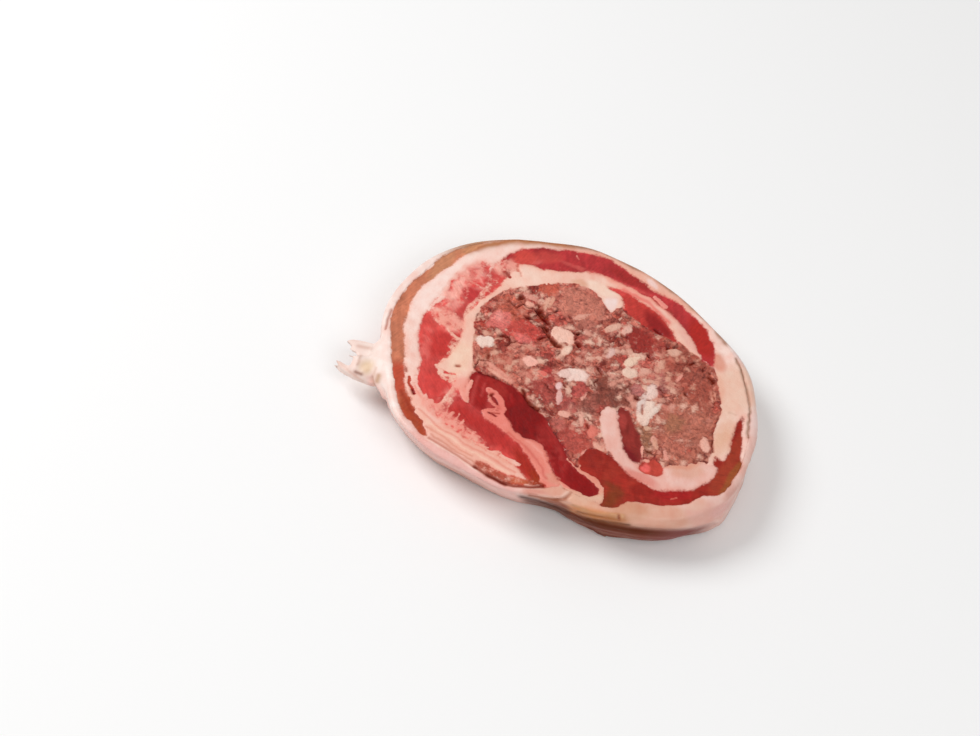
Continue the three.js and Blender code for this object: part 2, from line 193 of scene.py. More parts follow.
def knife_cut(name, lean_gloss=0.42, fat_gloss=0.48, film=0.25, relief=0.6, grain=0.0, blush=0.75, bit=0.0):
    """Moist raw meat or fat. The gloss values are roughnesses, film is the juice on top, grain is the turn
    of the fibres in degrees, blush is how red the fat is beside the lean, and bit is the size in metres of
    the bits of a mince, which is 0 for whole meat."""
    material = bpy.data.materials.new(name)
    material.use_nodes = True
    tree = material.node_tree
    tree.nodes.clear()
    place = node(tree, "TexCoord", out="Object")
    fatness, marbling, moist = (
        node(tree, "Attribute", out="Fac", attribute_name=kept) for kept in ("fatness", "marbling", "moist")
    )
    lean, fat = (
        node(tree, "Attribute", out="Color", attribute_name=kept) for kept in ("lean_colour", "fat_colour")
    )
    # flecks of 2.6 mm and threads of 0.8 mm shift the line between lean and fat
    flecks = node(tree, "TexNoise", {"Vector": place, "Scale": 1 / 0.0026, "Detail": 3.0, "Roughness": 0.62})
    threads = node(tree, "TexNoise", {"Vector": place, "Scale": 1 / 0.0008, "Detail": 2.0})
    centred = node(tree, "Math", [flecks, 0.5], operation="SUBTRACT")
    shift = node(tree, "Math", [centred, marbling, fatness], operation="MULTIPLY_ADD")
    fine = node(tree, "Math", [threads, 0.5], operation="SUBTRACT")
    shifted = node(tree, "Math", [fine, 1.2, shift], operation="MULTIPLY_ADD")
    edge = node(tree, "MapRange", [shifted, -0.6, 0.6], interpolation_type="SMOOTHSTEP")
    # bundles of 2 mm and fibres 0.7 mm wide and 5 mm long make the lean a little darker and lighter
    bundles = node(tree, "TexNoise", {"Vector": place, "Scale": 1 / 0.0021, "Detail": 3.0, "Roughness": 0.55})
    laid = node(
        tree, "Mapping",
        {"Vector": place, "Rotation": (0, 0, math.radians(grain)), "Scale": (0.005, 0.0007, 0.005)},
        vector_type="TEXTURE",
    )
    fibres = node(tree, "TexNoise", {"Vector": laid, "Scale": 1.0, "Detail": 3.0, "Roughness": 0.6})
    coarse = node(tree, "Math", [bundles, 0.55, 0.42], operation="MULTIPLY_ADD")
    tone = node(tree, "Math", [fibres, 0.62, coarse], operation="MULTIPLY_ADD")
    height = node(tree, "Math", [bundles, threads], operation="ADD")
    if bit:
        # every bit of mince has its own tone, and the sunk seams between the bits are darkened with dark
        # juice and painted shade
        stir = node(tree, "TexNoise", {"Vector": place, "Scale": 1 / 0.0024, "Detail": 3.0}, out="Color")
        stirred = node(tree, "VectorMath", [stir, (0.0036, 0.0036, 0), place], operation="MULTIPLY_ADD")
        bits = node(tree, "TexVoronoi", {"Vector": stirred, "Scale": 1 / bit}, out="Color")
        to_seam = node(tree, "TexVoronoi", {"Vector": stirred, "Scale": 1 / bit}, feature="DISTANCE_TO_EDGE")
        own = node(tree, "SeparateColor", {"Color": bits}).node.outputs
        # smooth pieces have a low marbling, and hide the bits
        loose = node(tree, "Math", [marbling, 0.0], operation="MAXIMUM", use_clamp=True)
        bit_range = node(tree, "MapRange", [own["Red"], 0, 1, -0.28, 0.34])
        bit_tone = node(tree, "Math", [bit_range, loose], operation="MULTIPLY")
        # crumbs of 1.2 mm are darker and lighter
        crumbs = node(
            tree, "TexNoise", {"Vector": stirred, "Scale": 1 / 0.0012, "Detail": 3.0, "Roughness": 0.66}
        )
        crumb_tone = node(tree, "MapRange", [crumbs, 0.3, 0.7, 0.64, 1.34])
        tone = node(tree, "Math", [crumb_tone, bit_tone], operation="ADD")
    lean = node(tree, "VectorMath", {0: lean, "Scale": tone}, operation="SCALE")
    if bit:
        # flakes of fat of 2.5 mm lie between the bits, and the pits between the flakes hold dark juice
        flakes = node(
            tree, "TexNoise", {"Vector": stirred, "Scale": 1 / 0.0025, "Detail": 3.0, "Roughness": 0.55}
        )
        loose_share = node(tree, "Math", [loose, 0.75, 0.25], operation="MULTIPLY_ADD")
        juice_and_shade = (*linear("#5E150C"), 1)
        for low, high, most, other in ((0.58, 0.67, 0.82, fat), (0.45, 0.31, 0.9, juice_and_shade)):
            share = node(tree, "MapRange", [flakes, low, high, 0.0, most])
            share = node(tree, "Math", [share, loose_share], operation="MULTIPLY")
            lean = node(tree, "Mix", {"Factor": share, "A": lean, "B": other}, out="Result", data_type="RGBA")
        # the sunk seams are darkened with painted shade as well as juice
        seam = node(tree, "MapRange", [to_seam, 0.0, 0.2, 0.5, 0.0])
        in_lean = node(tree, "Math", [1.0, edge], operation="SUBTRACT")
        for share in (own["Blue"], loose, in_lean):
            seam = node(tree, "Math", [seam, share], operation="MULTIPLY")
        juice_and_shade = (*linear("#64160E"), 1)
        lean = node(tree, "Mix", {"Factor": seam, "A": lean, "B": juice_and_shade}, out="Result", data_type="RGBA")
        for relief_of, depth in ((seam, -2.0), (crumbs, 1.6)):
            height = node(tree, "Math", [relief_of, depth, height], operation="MULTIPLY_ADD")
    # clouds of 4 mm and the blush beside the lean turn the fat pinker
    clouds = node(tree, "TexNoise", {"Vector": place, "Scale": 1 / 0.0042, "Detail": 3.0})
    cloudy = node(tree, "MapRange", [clouds, 0.35, 0.7, 0.0, 0.55])
    beside = node(tree, "MapRange", [shifted, 0.2, 1.6, blush, 0.0])
    red_share = node(tree, "Math", [cloudy, beside], operation="ADD", use_clamp=True)
    red_fat = node(tree, "VectorMath", [fat, BLUSH], operation="MULTIPLY")
    fat = node(tree, "Mix", {"Factor": red_share, "A": fat, "B": red_fat}, out="Result", data_type="RGBA")
    colour = node(tree, "Mix", {"Factor": edge, "A": lean, "B": fat}, out="Result", data_type="RGBA")
    gloss = node(tree, "MapRange", [edge, 0, 1, lean_gloss, fat_gloss])
    uneven = node(tree, "Math", [centred, 0.35, gloss], operation="MULTIPLY_ADD")
    bump = node(tree, "Bump", {"Height": height, "Strength": relief, "Distance": 0.00024})
    # hollows and the outside carry less juice, so they mirror less of the room
    wet = node(tree, "Math", [moist, film], operation="MULTIPLY")
    mirror = node(tree, "Math", [moist, 0.35], operation="MULTIPLY")
    surface = node(tree, "BsdfPrincipled", {
        "Base Color": colour, "Roughness": uneven, "Normal": bump, "IOR": 1.40, "Specular IOR Level": mirror,
        "Coat Weight": wet, "Coat Roughness": 0.2, "Coat IOR": 1.33,
    })
    node(tree, "OutputMaterial", {"Surface": surface})
    material.diffuse_color = (*linear("#C06058"), 1)
    return material


def dressed(piece, solid, material):
    """Gives a piece its material and puts it in its solid's place."""
    piece.data.materials.clear()
    piece.data.materials.append(material)
    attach(piece, "root")
    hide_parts(solid)


# What shows on the cut faces, in mm on the plan, and each section adds its own. Every layer is lean or
# fat of one colour. Tints of the lean or of the fat are ovals (middle, half sizes, turn, colour, strength)
# or lines (points, width, colour, strength). Veils are ovals of fat drawn thinly over the lean, with the
# size of its threads. Marblings are ovals with the marbling and the depth in fat there, and lines are
# threads of fat, with their width and depth, or of lean where that is less than 0. Creases are hollows
# along points, with their width, their depth and how much painted shade darkens them.
lean_colours, fat_colours = {}, {}
lean_tints, fat_tints, veils, marblings, lines, creases = [], [], [], [], [], []


def sliced(name, solid, finish, lean=None, fat=None, cell=0.0005, by=GAP_CLOSING, **look):
    """One layer of the slice with its finish, and its colour for the cut faces."""
    piece = layer(name, solid, cell, by)
    dressed(piece, solid, knife_cut(finish, **look))
    if lean:
        lean_colours[solid] = lean
    if fat:
        fat_colours[solid] = fat
    return piece



# Cut fat: waxy and nearly white, with a pink blush where it meets the lean.
outer_fat = sliced("outer_fat_layer", "outer_fat", "raw breast fat, knife-cut", fat="#F8D9CE")
right_edge = [(54.5, 42.4), (60, 36.6), (65.4, 29), (70.4, 21), (74.6, 9.4)]
lean_tints += [
    ([(-9, -58.2), (-2, -59), (6, -58.6)], 6.0, "#AA5240", 1.0),
    ([(8, -57.4), (14, -55)], 4.0, "#B8603F", 0.9),
    ([(-51.4, -37), (-48.6, -40.6), (-46.2, -43.4)], 3.0, "#A41C1C", 1.0),
]
fat_tints += [
    ((60, 26), (15, 32), -30, "#EDC6B2", 1.0),
    ((66, 3), (7, 16), 0, "#E9BDA6", 0.9),
    ((54, 25), (4, 10), 30, "#E9A990", 0.6),
    ((49.6, 36.6), (4, 7), 34, "#E09A84", 0.9),
    ((66, 3), (3, 8), 0, "#E4B094", 0.7),
    ((8, 58), (60, 7), 0, "#ECB5A0", 0.9),
    ((-14, -54), (34, 8), -2, "#EFB09C", 0.9),
    ((-42, -47), (12, 5), -45, "#F4C0AE", 0.8),
    ((-66, 8), (6, 26), 0, "#F9DED6", 0.6),
    ((8.5, 58.4), (4.4, 1.6), -15, "#F4D4CC", 1.0),
    # a brown line along the back rim: browned membrane, darkened further by painted shade along the rim
    ([(-63.6, 32), (-59, 38), (-52, 45.6), (-44, 51), (-36, 55.2), (-29, 58.4)], 4.2, "#B87850", 1.0),
    (
        [(-30, 58.4), (-20, 61.6), (-8, 63), (4, 62.8), (18, 60), (30, 56.4), (40, 51.4), (47, 47)],
        2.4, "#AE8068", 0.9,
    ),
    ([(-40, -49), (-28, -52.6), (-10, -53.6), (6, -54.6)], 1.0, "#E48E7C", 0.8),
    ([(-36, -52), (-24, -54.6), (-8, -55.4), (4, -56)], 0.9, "#F6CDB6", 0.7),
    ([(-34, -54.4), (-20, -56.8), (-12, -57)], 0.9, "#DC8E78", 0.7),
    ([(-30, -57), (-18, -58.6), (-10, -58.8)], 0.9, "#CC7E68", 0.7),
    ([(-47, -40), (-40, -45.6), (-34, -48.6)], 1.2, "#F09888", 0.7),
    ([(66.5, 16.4), (63.4, 15.8)], 0.9, "#D0A48C", 0.5),
    (right_edge, 1.2, "#AE8B74", 0.85),
    ((-28.6, -31), (3.4, 8), 20, "#E8907F", 1.0),
]
lines += [
    ([(5, -57.4), (10, -56.2), (14, -54.6)], 3.0, -0.5),
    ([(-8.4, -58.2), (-2, -59), (5, -58.8), (9.4, -57.4)], 4.4, -0.35),
    ([(-51.4, -37), (-48.6, -40.4), (-46, -42.8)], 1.5, -1.3),
    ([(-40, -50.6), (-36, -52.6), (-31.6, -55.2)], 2.4, 1.0),
    ([(-50.2, -33.6), (-48.2, -38.4), (-43.6, -41.6), (-38, -43.4)], 2.4, 0.5),
    ([(22, -49.6), (30.6, -50)], 2.2, 1.0),
    ([(-34.6, -53.6), (-29.6, -57)], 2.6, 1.2),
    ([(-39, -59.4), (-31, -59.6)], 2.2, 1.2),
    ([(-31, -34), (-28.2, -36.6)], 2.8, -1.0),
    ([(-27.4, -26), (-25.6, -34)], 1.8, -1.0),
]
creases += [
    ([(-9, -60.4), (-3, -61.2), (3, -61.4), (8, -60.2), (12.6, -57.8), (17.6, -54.6)], 1.3, 1.1, 0.75),
    ([(-3, -61.2), (5, -61.2)], 1.6, 0.5, 0.45),
    ([(-47, -42.2), (-45.8, -43.4)], 1.1, 0.5, 0.8),
    ([(-30, -58.4), (-20, -59.4), (-8, -60.8)], 1.0, 0.4, 0.3),
    ([(-54.4, -34.4), (-53.4, -35.6)], 1.0, 0.3, 0.6),
    ([(63.2, -0.4), (65.6, -4.6)], 1.0, 0.9, 0.8),
    (right_edge, 0.8, 0.5, 0.12),
    ([(64.2, -44.5), (64.4, -44.7)], 1.3, 0.7, 0.8),
    ([(-74, -12), (-72.8, -17), (-71, -21.6)], 1.0, 0.6, 0.35),
    ([(47.6, -50.6), (49, -52.2)], 0.9, 0.4, 0.5),
]

# ---- Outer lean ----
# A thin flat muscle at the outside of the breast, with fat grown to it on both sides. Its cut edge has
# dried at the air, so it is orange-brown, darker and redder towards the near side.

# Dried muscle: dull, with hardly any juice left on it.
outer_lean = sliced(
    "outer_lean_band", "outer_lean", "thin muscle, dried at the air", lean="#C4765A",
    lean_gloss=0.5, film=0.06, grain=75,
)
lean_tints += [
    ((-61, 37), (12, 8), 55, "#C48662", 1.0),
    ((-69, 20), (5, 14), 0, "#BE8060", 0.9),
    ((-54, -40), (7, 12), 35, "#B64A36", 0.95),
    ((-42, -51), (12, 6), -40, "#A5442C", 1.0),
    ((-33, -56), (6, 4), 0, "#A5442C", 1.0),
    ([(-50, -45), (-43, -50.4), (-34, -54.6)], 1.4, "#8E3020", 0.7),
]

# ---- Side lean ----
# The thick bright muscle on the left, between the outer fat and the seam fat. Its upper half is shot with
# pale pink fat, its lower half is plain red, and its lower edge runs out into the fat in short feathers.

# Fresh muscle: bright red and moist, with fine fibres that run down to the right.
side_lean = sliced("side_lean_muscle", "side_lean", "raw veal muscle, knife-cut", lean="#CC4A45", grain=-35)
veils += [
    ((-54.6, 17), (7.8, 20), 0, "#E5978C", 0.92, 3.0),
    ((-58.6, 12), (4.4, 20), 0, "#EFAC9E", 0.9, 2.4),
    ((-46, 33), (6, 8), -40, "#E99D8E", 0.95, 2.6),
    ((-52.6, -4), (10, 7), -10, "#EFA596", 0.95, 2.8),
    ((-33.4, -36), (4.4, 10), 0, "#E28A80", 0.8, 2.2),
    ((-24, -46.4), (20, 3.4), -9, "#E88F84", 0.85, 2.0),
    ((-54, -20), (4, 12), 20, "#DC6E66", 0.7, 3.0),
]
lean_tints += [
    ((-47.8, 22.6), (3.8, 7), 8, "#C24844", 1.0),
    ((-50.6, 12.6), (5.4, 5.2), 0, "#B83A3A", 1.0),
    ((-49.8, 3.4), (3, 7.4), 10, "#B84440", 0.9),
    ((-56.2, 22), (2.2, 5), 8, "#CE655C", 0.8),
    ((-57, -8.4), (5, 4.6), 0, "#CC4A44", 0.9),
    ((-48, -16), (8, 9), 0, "#B83430", 0.8),
    ((-41, -35), (8, 7), -20, "#C8423E", 0.8),
    ((-16, -43.4), (24, 6.6), -8, "#AC2F2C", 0.9),
    ((8, -49), (12, 5), -25, "#A02C22", 0.95),
    ((13, -52), (5.4, 2.8), -40, "#98301E", 1.0),
    ((15, -54), (5, 3), 30, "#983A24", 0.9),
    ([(-45, 30.4), (-42.2, 29)], 4.0, "#94382E", 0.9),
    ([(-42.6, 36.4), (-39.4, 32.6)], 4.0, "#C87262", 1.0),
]
fat_tints += [
    ((-55, 14), (8, 22), 0, "#F0A89A", 1.0),
    ((-45, 33), (6, 6), 0, "#F0AC9E", 1.0),
    ((-53, -4), (10, 6), 0, "#F3AE9E", 1.0),
    ((-26, -45), (24, 7), -8, "#F0A090", 0.9),
]
marblings += [
    ((-56, 20), (5, 13), -6, 3.4, -0.2),
    ((-55.4, 7), (6, 13), 0, 3.4, -0.48),
    ((-48, 25), (4, 10), 10, 2.8, -0.38),
    ((-46, 33), (5, 5), -30, 3.4, -0.1),
    ((-53, -4), (10, 6), -8, 3.4, 0.1),
    ((-32.6, -38), (3, 8), -4, 3.0, -0.1),
    ((-44.8, -17), (2.4, 9), 5, 3.8, 0.1),
    ((-39, -29.4), (6, 2.6), -10, 3.8, 0.0),
    ((-47.6, 11), (1.8, 12), 0, 3.2, 0.1),
    ((-24, -46.6), (18, 2.2), -9, 3.0, -0.1),
    ((0, -58.6), (12, 2), 0, 2.4, -0.1),
]
lines += [
    ([(-60.2, 23), (-61, 14), (-61, 4), (-61.4, -1)], 2.6, 0.5),
    ([(-61.5, -1.5), (-56, -2.8), (-52.6, -6), (-49, -9), (-44.6, -10.4)], 1.7, 0.35),
    ([(-56, -3), (-52, -0.4), (-47.4, -2.6)], 1.5, 0.15),
    ([(-57.4, 18.6), (-52, 18.2), (-46, 17.2)], 1.3, 0.1),
    ([(-53.8, 26), (-53, 19.4)], 1.6, 0.1),
    ([(-59.4, 13), (-55, 9), (-53.4, 3.6)], 1.3, 0.15),
    ([(-60.4, 8), (-57, 4.6), (-54.4, 0)], 1.2, 0.1),
    ([(-51.6, 31), (-50.4, 27)], 1.4, 0.2),
    ([(-46.4, -39.6), (-38, -44.2), (-26, -48), (-10, -50.8), (5, -50.6)], 2.0, 0.6),
    ([(-35.4, -27), (-34, -33), (-33.6, -39), (-34.4, -44)], 2.0, 0.35),
    ([(-46.4, -18), (-46.6, -24), (-45.4, -28.4)], 3.6, -0.8),
    ([(-29.4, -49.4), (-28.2, -42.6)], 1.9, 0.4),
    ([(-26.4, -50), (-25.6, -44)], 1.4, 0.3),
    ([(-23.6, -50), (-22.4, -45.4)], 1.7, 0.4),
    ([(-20, -50.4), (-19.2, -47.4)], 1.3, 0.3),
    ([(-16.6, -50.6), (-16, -47.6)], 1.5, 0.3),
    ([(-13, -50.8), (-12.4, -48.8)], 1.2, 0.3),
    ([(-9.6, -51.2), (-9, -48.8)], 1.5, 0.4),
    ([(-4, -51.2), (-3.4, -49.6)], 1.2, 0.3),
    ([(-31.4, -34), (-31.4, -38.6), (-30, -44)], 1.3, 0.1),
    ([(-36.6, -28.8), (-38.6, -30.6), (-40.4, -31.4)], 1.2, -0.1),
    ([(-44.6, -26.6), (-41, -28.6), (-37, -27.8)], 1.6, 0.6),
    ([(-40.6, -27.6), (-38.4, -26.4), (-36.6, -26)], 1.5, -0.1),
    ([(10.4, -50.4), (13.6, -51.8)], 2.6, -0.8),
    ([(-45.4, 30.4), (-42.2, 29)], 1.9, -1.0),
    ([(-42.6, 36.4), (-40.8, 34)], 2.0, -0.2),
    ([(-39.6, 33.6), (-38.8, 32.4)], 1.6, 0.1),
]

# ---- Seam fat ----
# The fat between the muscles and the pocket, which joins them. It is drawn out into a point on the left
# and into a long tongue over the filling, and is creamy, with a whiter patch at the pocket's top left.

# Soft fat: creamy and smooth, pink along its edges.
seam_fat = sliced("seam_fat_layer", "seam_fat", "raw seam fat, knife-cut", fat="#F3C6B4")
fat_tints += [
    ((-36, 33), (12, 8), 40, "#F5D0BF", 0.9),
    ((-39, -18), (6, 11), 10, "#F4CFB8", 0.9),
    ((-31, -31), (5, 7), 20, "#F2A697", 0.9),
    ((4, 51), (24, 3.4), -4, "#F3AC9A", 0.9),
    ((34, 42), (12, 5), -38, "#EAB6A8", 0.9),
    ((-8, 44.4), (9, 3.4), 0, "#F5D8C6", 1.0),
    ((-1, 39.4), (3, 5), 20, "#F3D9D2", 1.0),
    ((-17, 42), (5, 3), 20, "#DDA78A", 0.7),
]
lines += [
    ([(-2, 43), (-1, 38.6), (1.2, 36)], 4.4, 2.4),
    ([(-29.4, -26), (-28.4, -31), (-26.6, -35.4)], 1.6, 2.2),
]
creases += [([(-38.3, -22.5), (-37.3, -22)], 1.1, 0.6, 0.6)]

# ---- Top lean ----
# The flat muscle along the back of the roll, grown to the fat on both sides: a long crescent of even deep
# red, with a few pale specks and one thin blade of fat near its right end.

# Flat muscle cut along its fibres: deep red, even and moist.
top_lean = sliced("top_lean_muscle", "top_lean", "raw flat muscle, knife-cut", lean="#AE3638", grain=80)
veils += [((-40, 41.6), (8, 3), 30, "#D0665E", 0.8, 2.4), ((-10, 50.4), (26, 1.8), 6, "#CC5A54", 0.7, 2.6)]
lean_tints += [
    ((-42, 41), (7, 6), 40, "#C6483F", 0.9),
    ((-34, 47.4), (8, 4.4), 36, "#BE4640", 0.8),
    ((0, 56), (14, 3.6), 0, "#9A2E2C", 0.9),
    ((38, 44), (14, 6), -45, "#AB2D26", 0.9),
    ([(12, 52), (17, 49.8), (22, 48.4)], 1.4, "#9C3A34", 0.9),
]
fat_tints += [
    ([(12.5, 53), (18, 51), (24.5, 48.2)], 4.0, "#EC9084", 1.0),
    ([(-44, 40), (-30, 48), (-22, 54), (-14, 52)], 6.0, "#E08478", 1.0),
]
lines += [
    ([(12.8, 53), (16, 51.8), (19, 50.4)], 1.9, 3.4),
    ([(-24.6, 54.8), (-22.8, 53.2)], 1.2, 0.0),
    ([(-27.8, 46.4), (-26.6, 44.8)], 1.1, -0.2),
]

# ---- Lower seam ----
# A pink fold of fat and fascia that joins the bright muscle to the dark one. A vein of it curls back into
# the dark muscle on the left.

# Fascia with fat: salmon pink, in thin sheets that show as darker and paler lines.
lower_seam = sliced("lower_seam_fold", "lower_seam", "raw fascia and fat", fat="#E98F80")
vein = [(-21.6, -25.9), (-18.6, -26.6), (-15, -28.4), (-13.4, -31), (-12.6, -33.6), (-10.4, -36.6)]
vein_foot = [(-18.6, -35.7), (-16.6, -36.9), (-10.4, -37)]
lean_tints += [
    ([(-18.8, -30.4), (-17.4, -33.6)], 3.0, "#B84440", 0.8),
    ([(-30, -36.2), (-24.6, -37), (-19.4, -38)], 4.0, "#B23A38", 0.9),
]
fat_tints += [
    (vein, 7.0, "#EA877B", 1.0),
    (vein_foot, 6.0, "#EC8B7E", 0.9),
    ([(-16.4, -29.6), (-14.2, -32)], 2.4, "#D86C60", 0.8),
    ((19.4, -48.6), (4.4, 4), 0, "#DE9C86", 0.7),
    ([(-6, -39.4), (4, -42.4), (12, -46.4), (17, -50.4)], 1.1, "#D4665A", 0.8),
    ([(2, -39), (10, -41.6), (17, -46.4)], 1.0, "#F2A496", 0.8),
    ([(-4, -37.8), (6, -38.6), (11, -38.6)], 0.9, "#D8746A", 0.6),
]
lines += [
    (vein, 3.4, 1.0),
    (vein_foot, 2.2, 0.8),
    ([(-8, -38.4), (0, -39.2), (8, -39.6)], 2.2, 1.1),
    ([(-16.8, -34.6), (-13.6, -34.2)], 2.6, 0.7),
    ([(-30, -36.2), (-24.6, -37), (-20.4, -38)], 2.0, -1.2),
    ([(-21.4, -26), (-20.6, -28.8), (-17.6, -31), (-14.6, -32)], 1.8, 0.5),
    ([(-18.6, -35.4), (-14.8, -32.8)], 1.6, 0.4),
]
creases += [([(-16.2, -35.4), (-12.8, -33.7)], 0.55, 0.3, 0.5), ([(-20.2, -28), (-19.6, -27)], 1.2, 0.5, 0.9)]

# ---- Inner lean ----
# A short dark muscle that the seam fat holds against the filling at the back, brighter where it starts on
# the left.

# Dark muscle: deep red and moist, its fibres cut across.
inner_lean = sliced("inner_lean_muscle", "inner_lean", "raw dark muscle, knife-cut", lean="#B23A34", grain=60)
lean_tints += [((-2, 47.4), (5, 3), 0, "#D04A46", 1.0), ((20, 40), (11, 4), -25, "#8C2424", 0.9)]
fat_tints += [([(0, 49.6), (12, 48), (24, 43.6)], 2.0, "#E87C72", 0.9)]
creases += [([(20, 37.4), (23.4, 36.6), (24.8, 34.6)], 1.0, 0.8, 0.8)]

# ---- Lower lean ----
# The darkest muscle, dense and wine red, below the filling on the near side. The filling sticks to it, and
# fascia joins it to the muscles beside it.

# Dense muscle: the wettest face of the cut, wine red with a clearer gloss.
lower_lean = sliced(
    "lower_lean_muscle", "lower_lean", "raw wine-red muscle, knife-cut", lean="#8A1F1F",
    lean_gloss=0.36, grain=-30,
)
veils += [((12, -38), (13, 5), -35, "#A43A36", 0.7, 2.6), ((-21, -24), (9, 5), 0, "#A4342E", 0.6, 3.0)]
lean_tints += [
    ((-25, -28), (7, 9), 20, "#9C2624", 0.9),
    ((-4, -28), (9, 6), -10, "#7C1616", 1.0),
    ((8, -33), (8, 4), -30, "#962A28", 0.8),
    ((28, -45), (9, 4), -10, "#861A1A", 0.9),
    ([(-28.6, -22), (-26.4, -29), (-24.6, -35)], 1.6, "#B84844", 0.6),
    ([(-24.6, -24), (-23, -30)], 1.2, "#B84844", 0.6),
    ([(4, -27), (10, -32), (17, -37.4)], 1.2, "#A03230", 0.7),
]
fat_tints += [
    ([(20, -38.6), (34, -41.4), (38.8, -47)], 5.0, "#E29480", 1.0),
    ([(31, -51), (35, -49.4), (39, -47)], 5.0, "#E0B29A", 1.0),
]
lines += [
    ([(20, -38.6), (26, -40.2), (34, -41.4), (37.4, -43.4), (38.8, -47), (38.6, -50)], 1.9, 1.5),
    ([(30.6, -51.6), (34.6, -50), (38.4, -47.6)], 3.8, 1.5),
]
creases += [
    ([(-11.2, -18.8), (-7.4, -21.4), (-4, -23.6), (0.2, -23.9)], 1.4, 1.1, 0.95),
    ([(-29.8, -20.2), (-20, -19.2)], 0.9, 0.5, 0.7),
]

# ---- Right lean ----
# The muscle that turns round the right end of the roll, between the hook and the cover. It is red inside,
# brown-green at its outer edge where it has dried, and olive brown in the notch on the near side.

# Muscle that has browned at its edge: dull, with little juice.
right_lean = sliced(
    "right_lean_muscle", "right_lean", "raw muscle, browned at the edge", lean="#952C24",
    lean_gloss=0.46, film=0.08, grain=20,
)
veils += [((38, -35), (16, 6), 0, "#9E362A", 0.6, 3.0), ((60, -32), (10, 4), 35, "#AC2C2C", 0.6, 3.0)]
lean_tints += [
    ((73, 2), (4, 14), 0, "#993A2A", 0.9),
    ((74, -14), (5, 13), 0, "#9A3E2C", 0.8),
    ((76.8, -12), (2, 14), 0, "#96542E", 0.8),
    ((60, -30), (10, 5), 30, "#9E2424", 0.9),
    ((50, -35.4), (6, 4), 10, "#84231D", 0.6),
    ([(37.6, -40), (41, -40.2), (44, -41)], 3.4, "#743A24", 0.7),
    ([(42, -43.4), (42.6, -46), (42, -49)], 6.0, "#7C3A22", 0.95),
    ([(27, -30), (29, -36)], 5.0, "#8C2A24", 0.6),
]
fat_tints += [([(62.8, -31.6), (61.8, -32.6)], 5, "#DC7A68", 1.0)]
lines += [([(62.8, -31.6), (61.8, -32.6)], 1.3, 0.0)]

# ---- Hook ----
# A strip of belly that turns in at the right end and lies curled in the filling, held by it: a pale band
# of fat with a strip of dark lean along it and a bright round end.

# Belly, cut across: white-pink waxy fat, dark moist lean and one bright red end.
hook_fat = sliced("hook_fat_band", "hook_fat", "raw belly fat, knife-cut", fat="#ECBEB2")
hook_strip = sliced("hook_strip_lean", "hook_strip", "raw belly lean, knife-cut", lean="#822D28")
hook_nub = sliced("hook_nub_lean", "hook_nub", "raw bright lean, knife-cut", lean="#BC463A")
lean_tints += [
    ((47.2, -25.4), (2.4, 2.6), 0, "#E0625C", 1.0),
    ((29, -11), (5, 2.8), -60, "#A23E38", 0.9),
    ([(36, -22), (42, -24.6)], 2.6, "#741C22", 0.8),
]
fat_tints += [
    ([(42, -18.4), (46, -22.4)], 4.5, "#EBA592", 1.0),
    ((61, -18), (9, 5), 30, "#E0AA96", 0.9),
    ((47, -30.8), (10, 3.2), 0, "#DE8E82", 0.9),
    ((58, -16), (11, 3.4), 36, "#DE9C84", 0.9),
    ([(43, -17.6), (46, -19.6)], 3.0, "#E89A8A", 0.9),
]
lines += [([(47.6, -25), (50.6, -24.2)], 6.6, -1.6), ([(41.8, -17.8), (44.4, -21.4), (46, -22.4)], 2.8, 1.4)]
creases += [([(42.2, -17.2), (45.6, -18.6)], 1.1, 0.7, 0.8)]

# ---- Stuffing ----
# A coarse raw mince of veal and pork with pieces of fat, 2 to 9 mm across, pressed into the pocket. The
# knife tears it more than it cuts it, so pieces stand out and there are gaps between them.

# Coarse mince: rough and moist, flecked with fat, every bit of 2.1 mm with a tone of its own.
stuffing = sliced(
    "stuffing_mince", "stuffing", "coarse raw mince", cell=0.00038, by=0.00048,
    lean_gloss=0.44, fat_gloss=0.46, film=0.4, relief=1.0, blush=0.35, bit=0.0021,
)
MINCE_LEAN, MINCE_LIGHT, MINCE_DARK = "#B86050", "#DC8E7C", "#7C3028"
MINCE_FAT, MINCE_PALE_FAT = "#DA9080", "#F0D0BC"
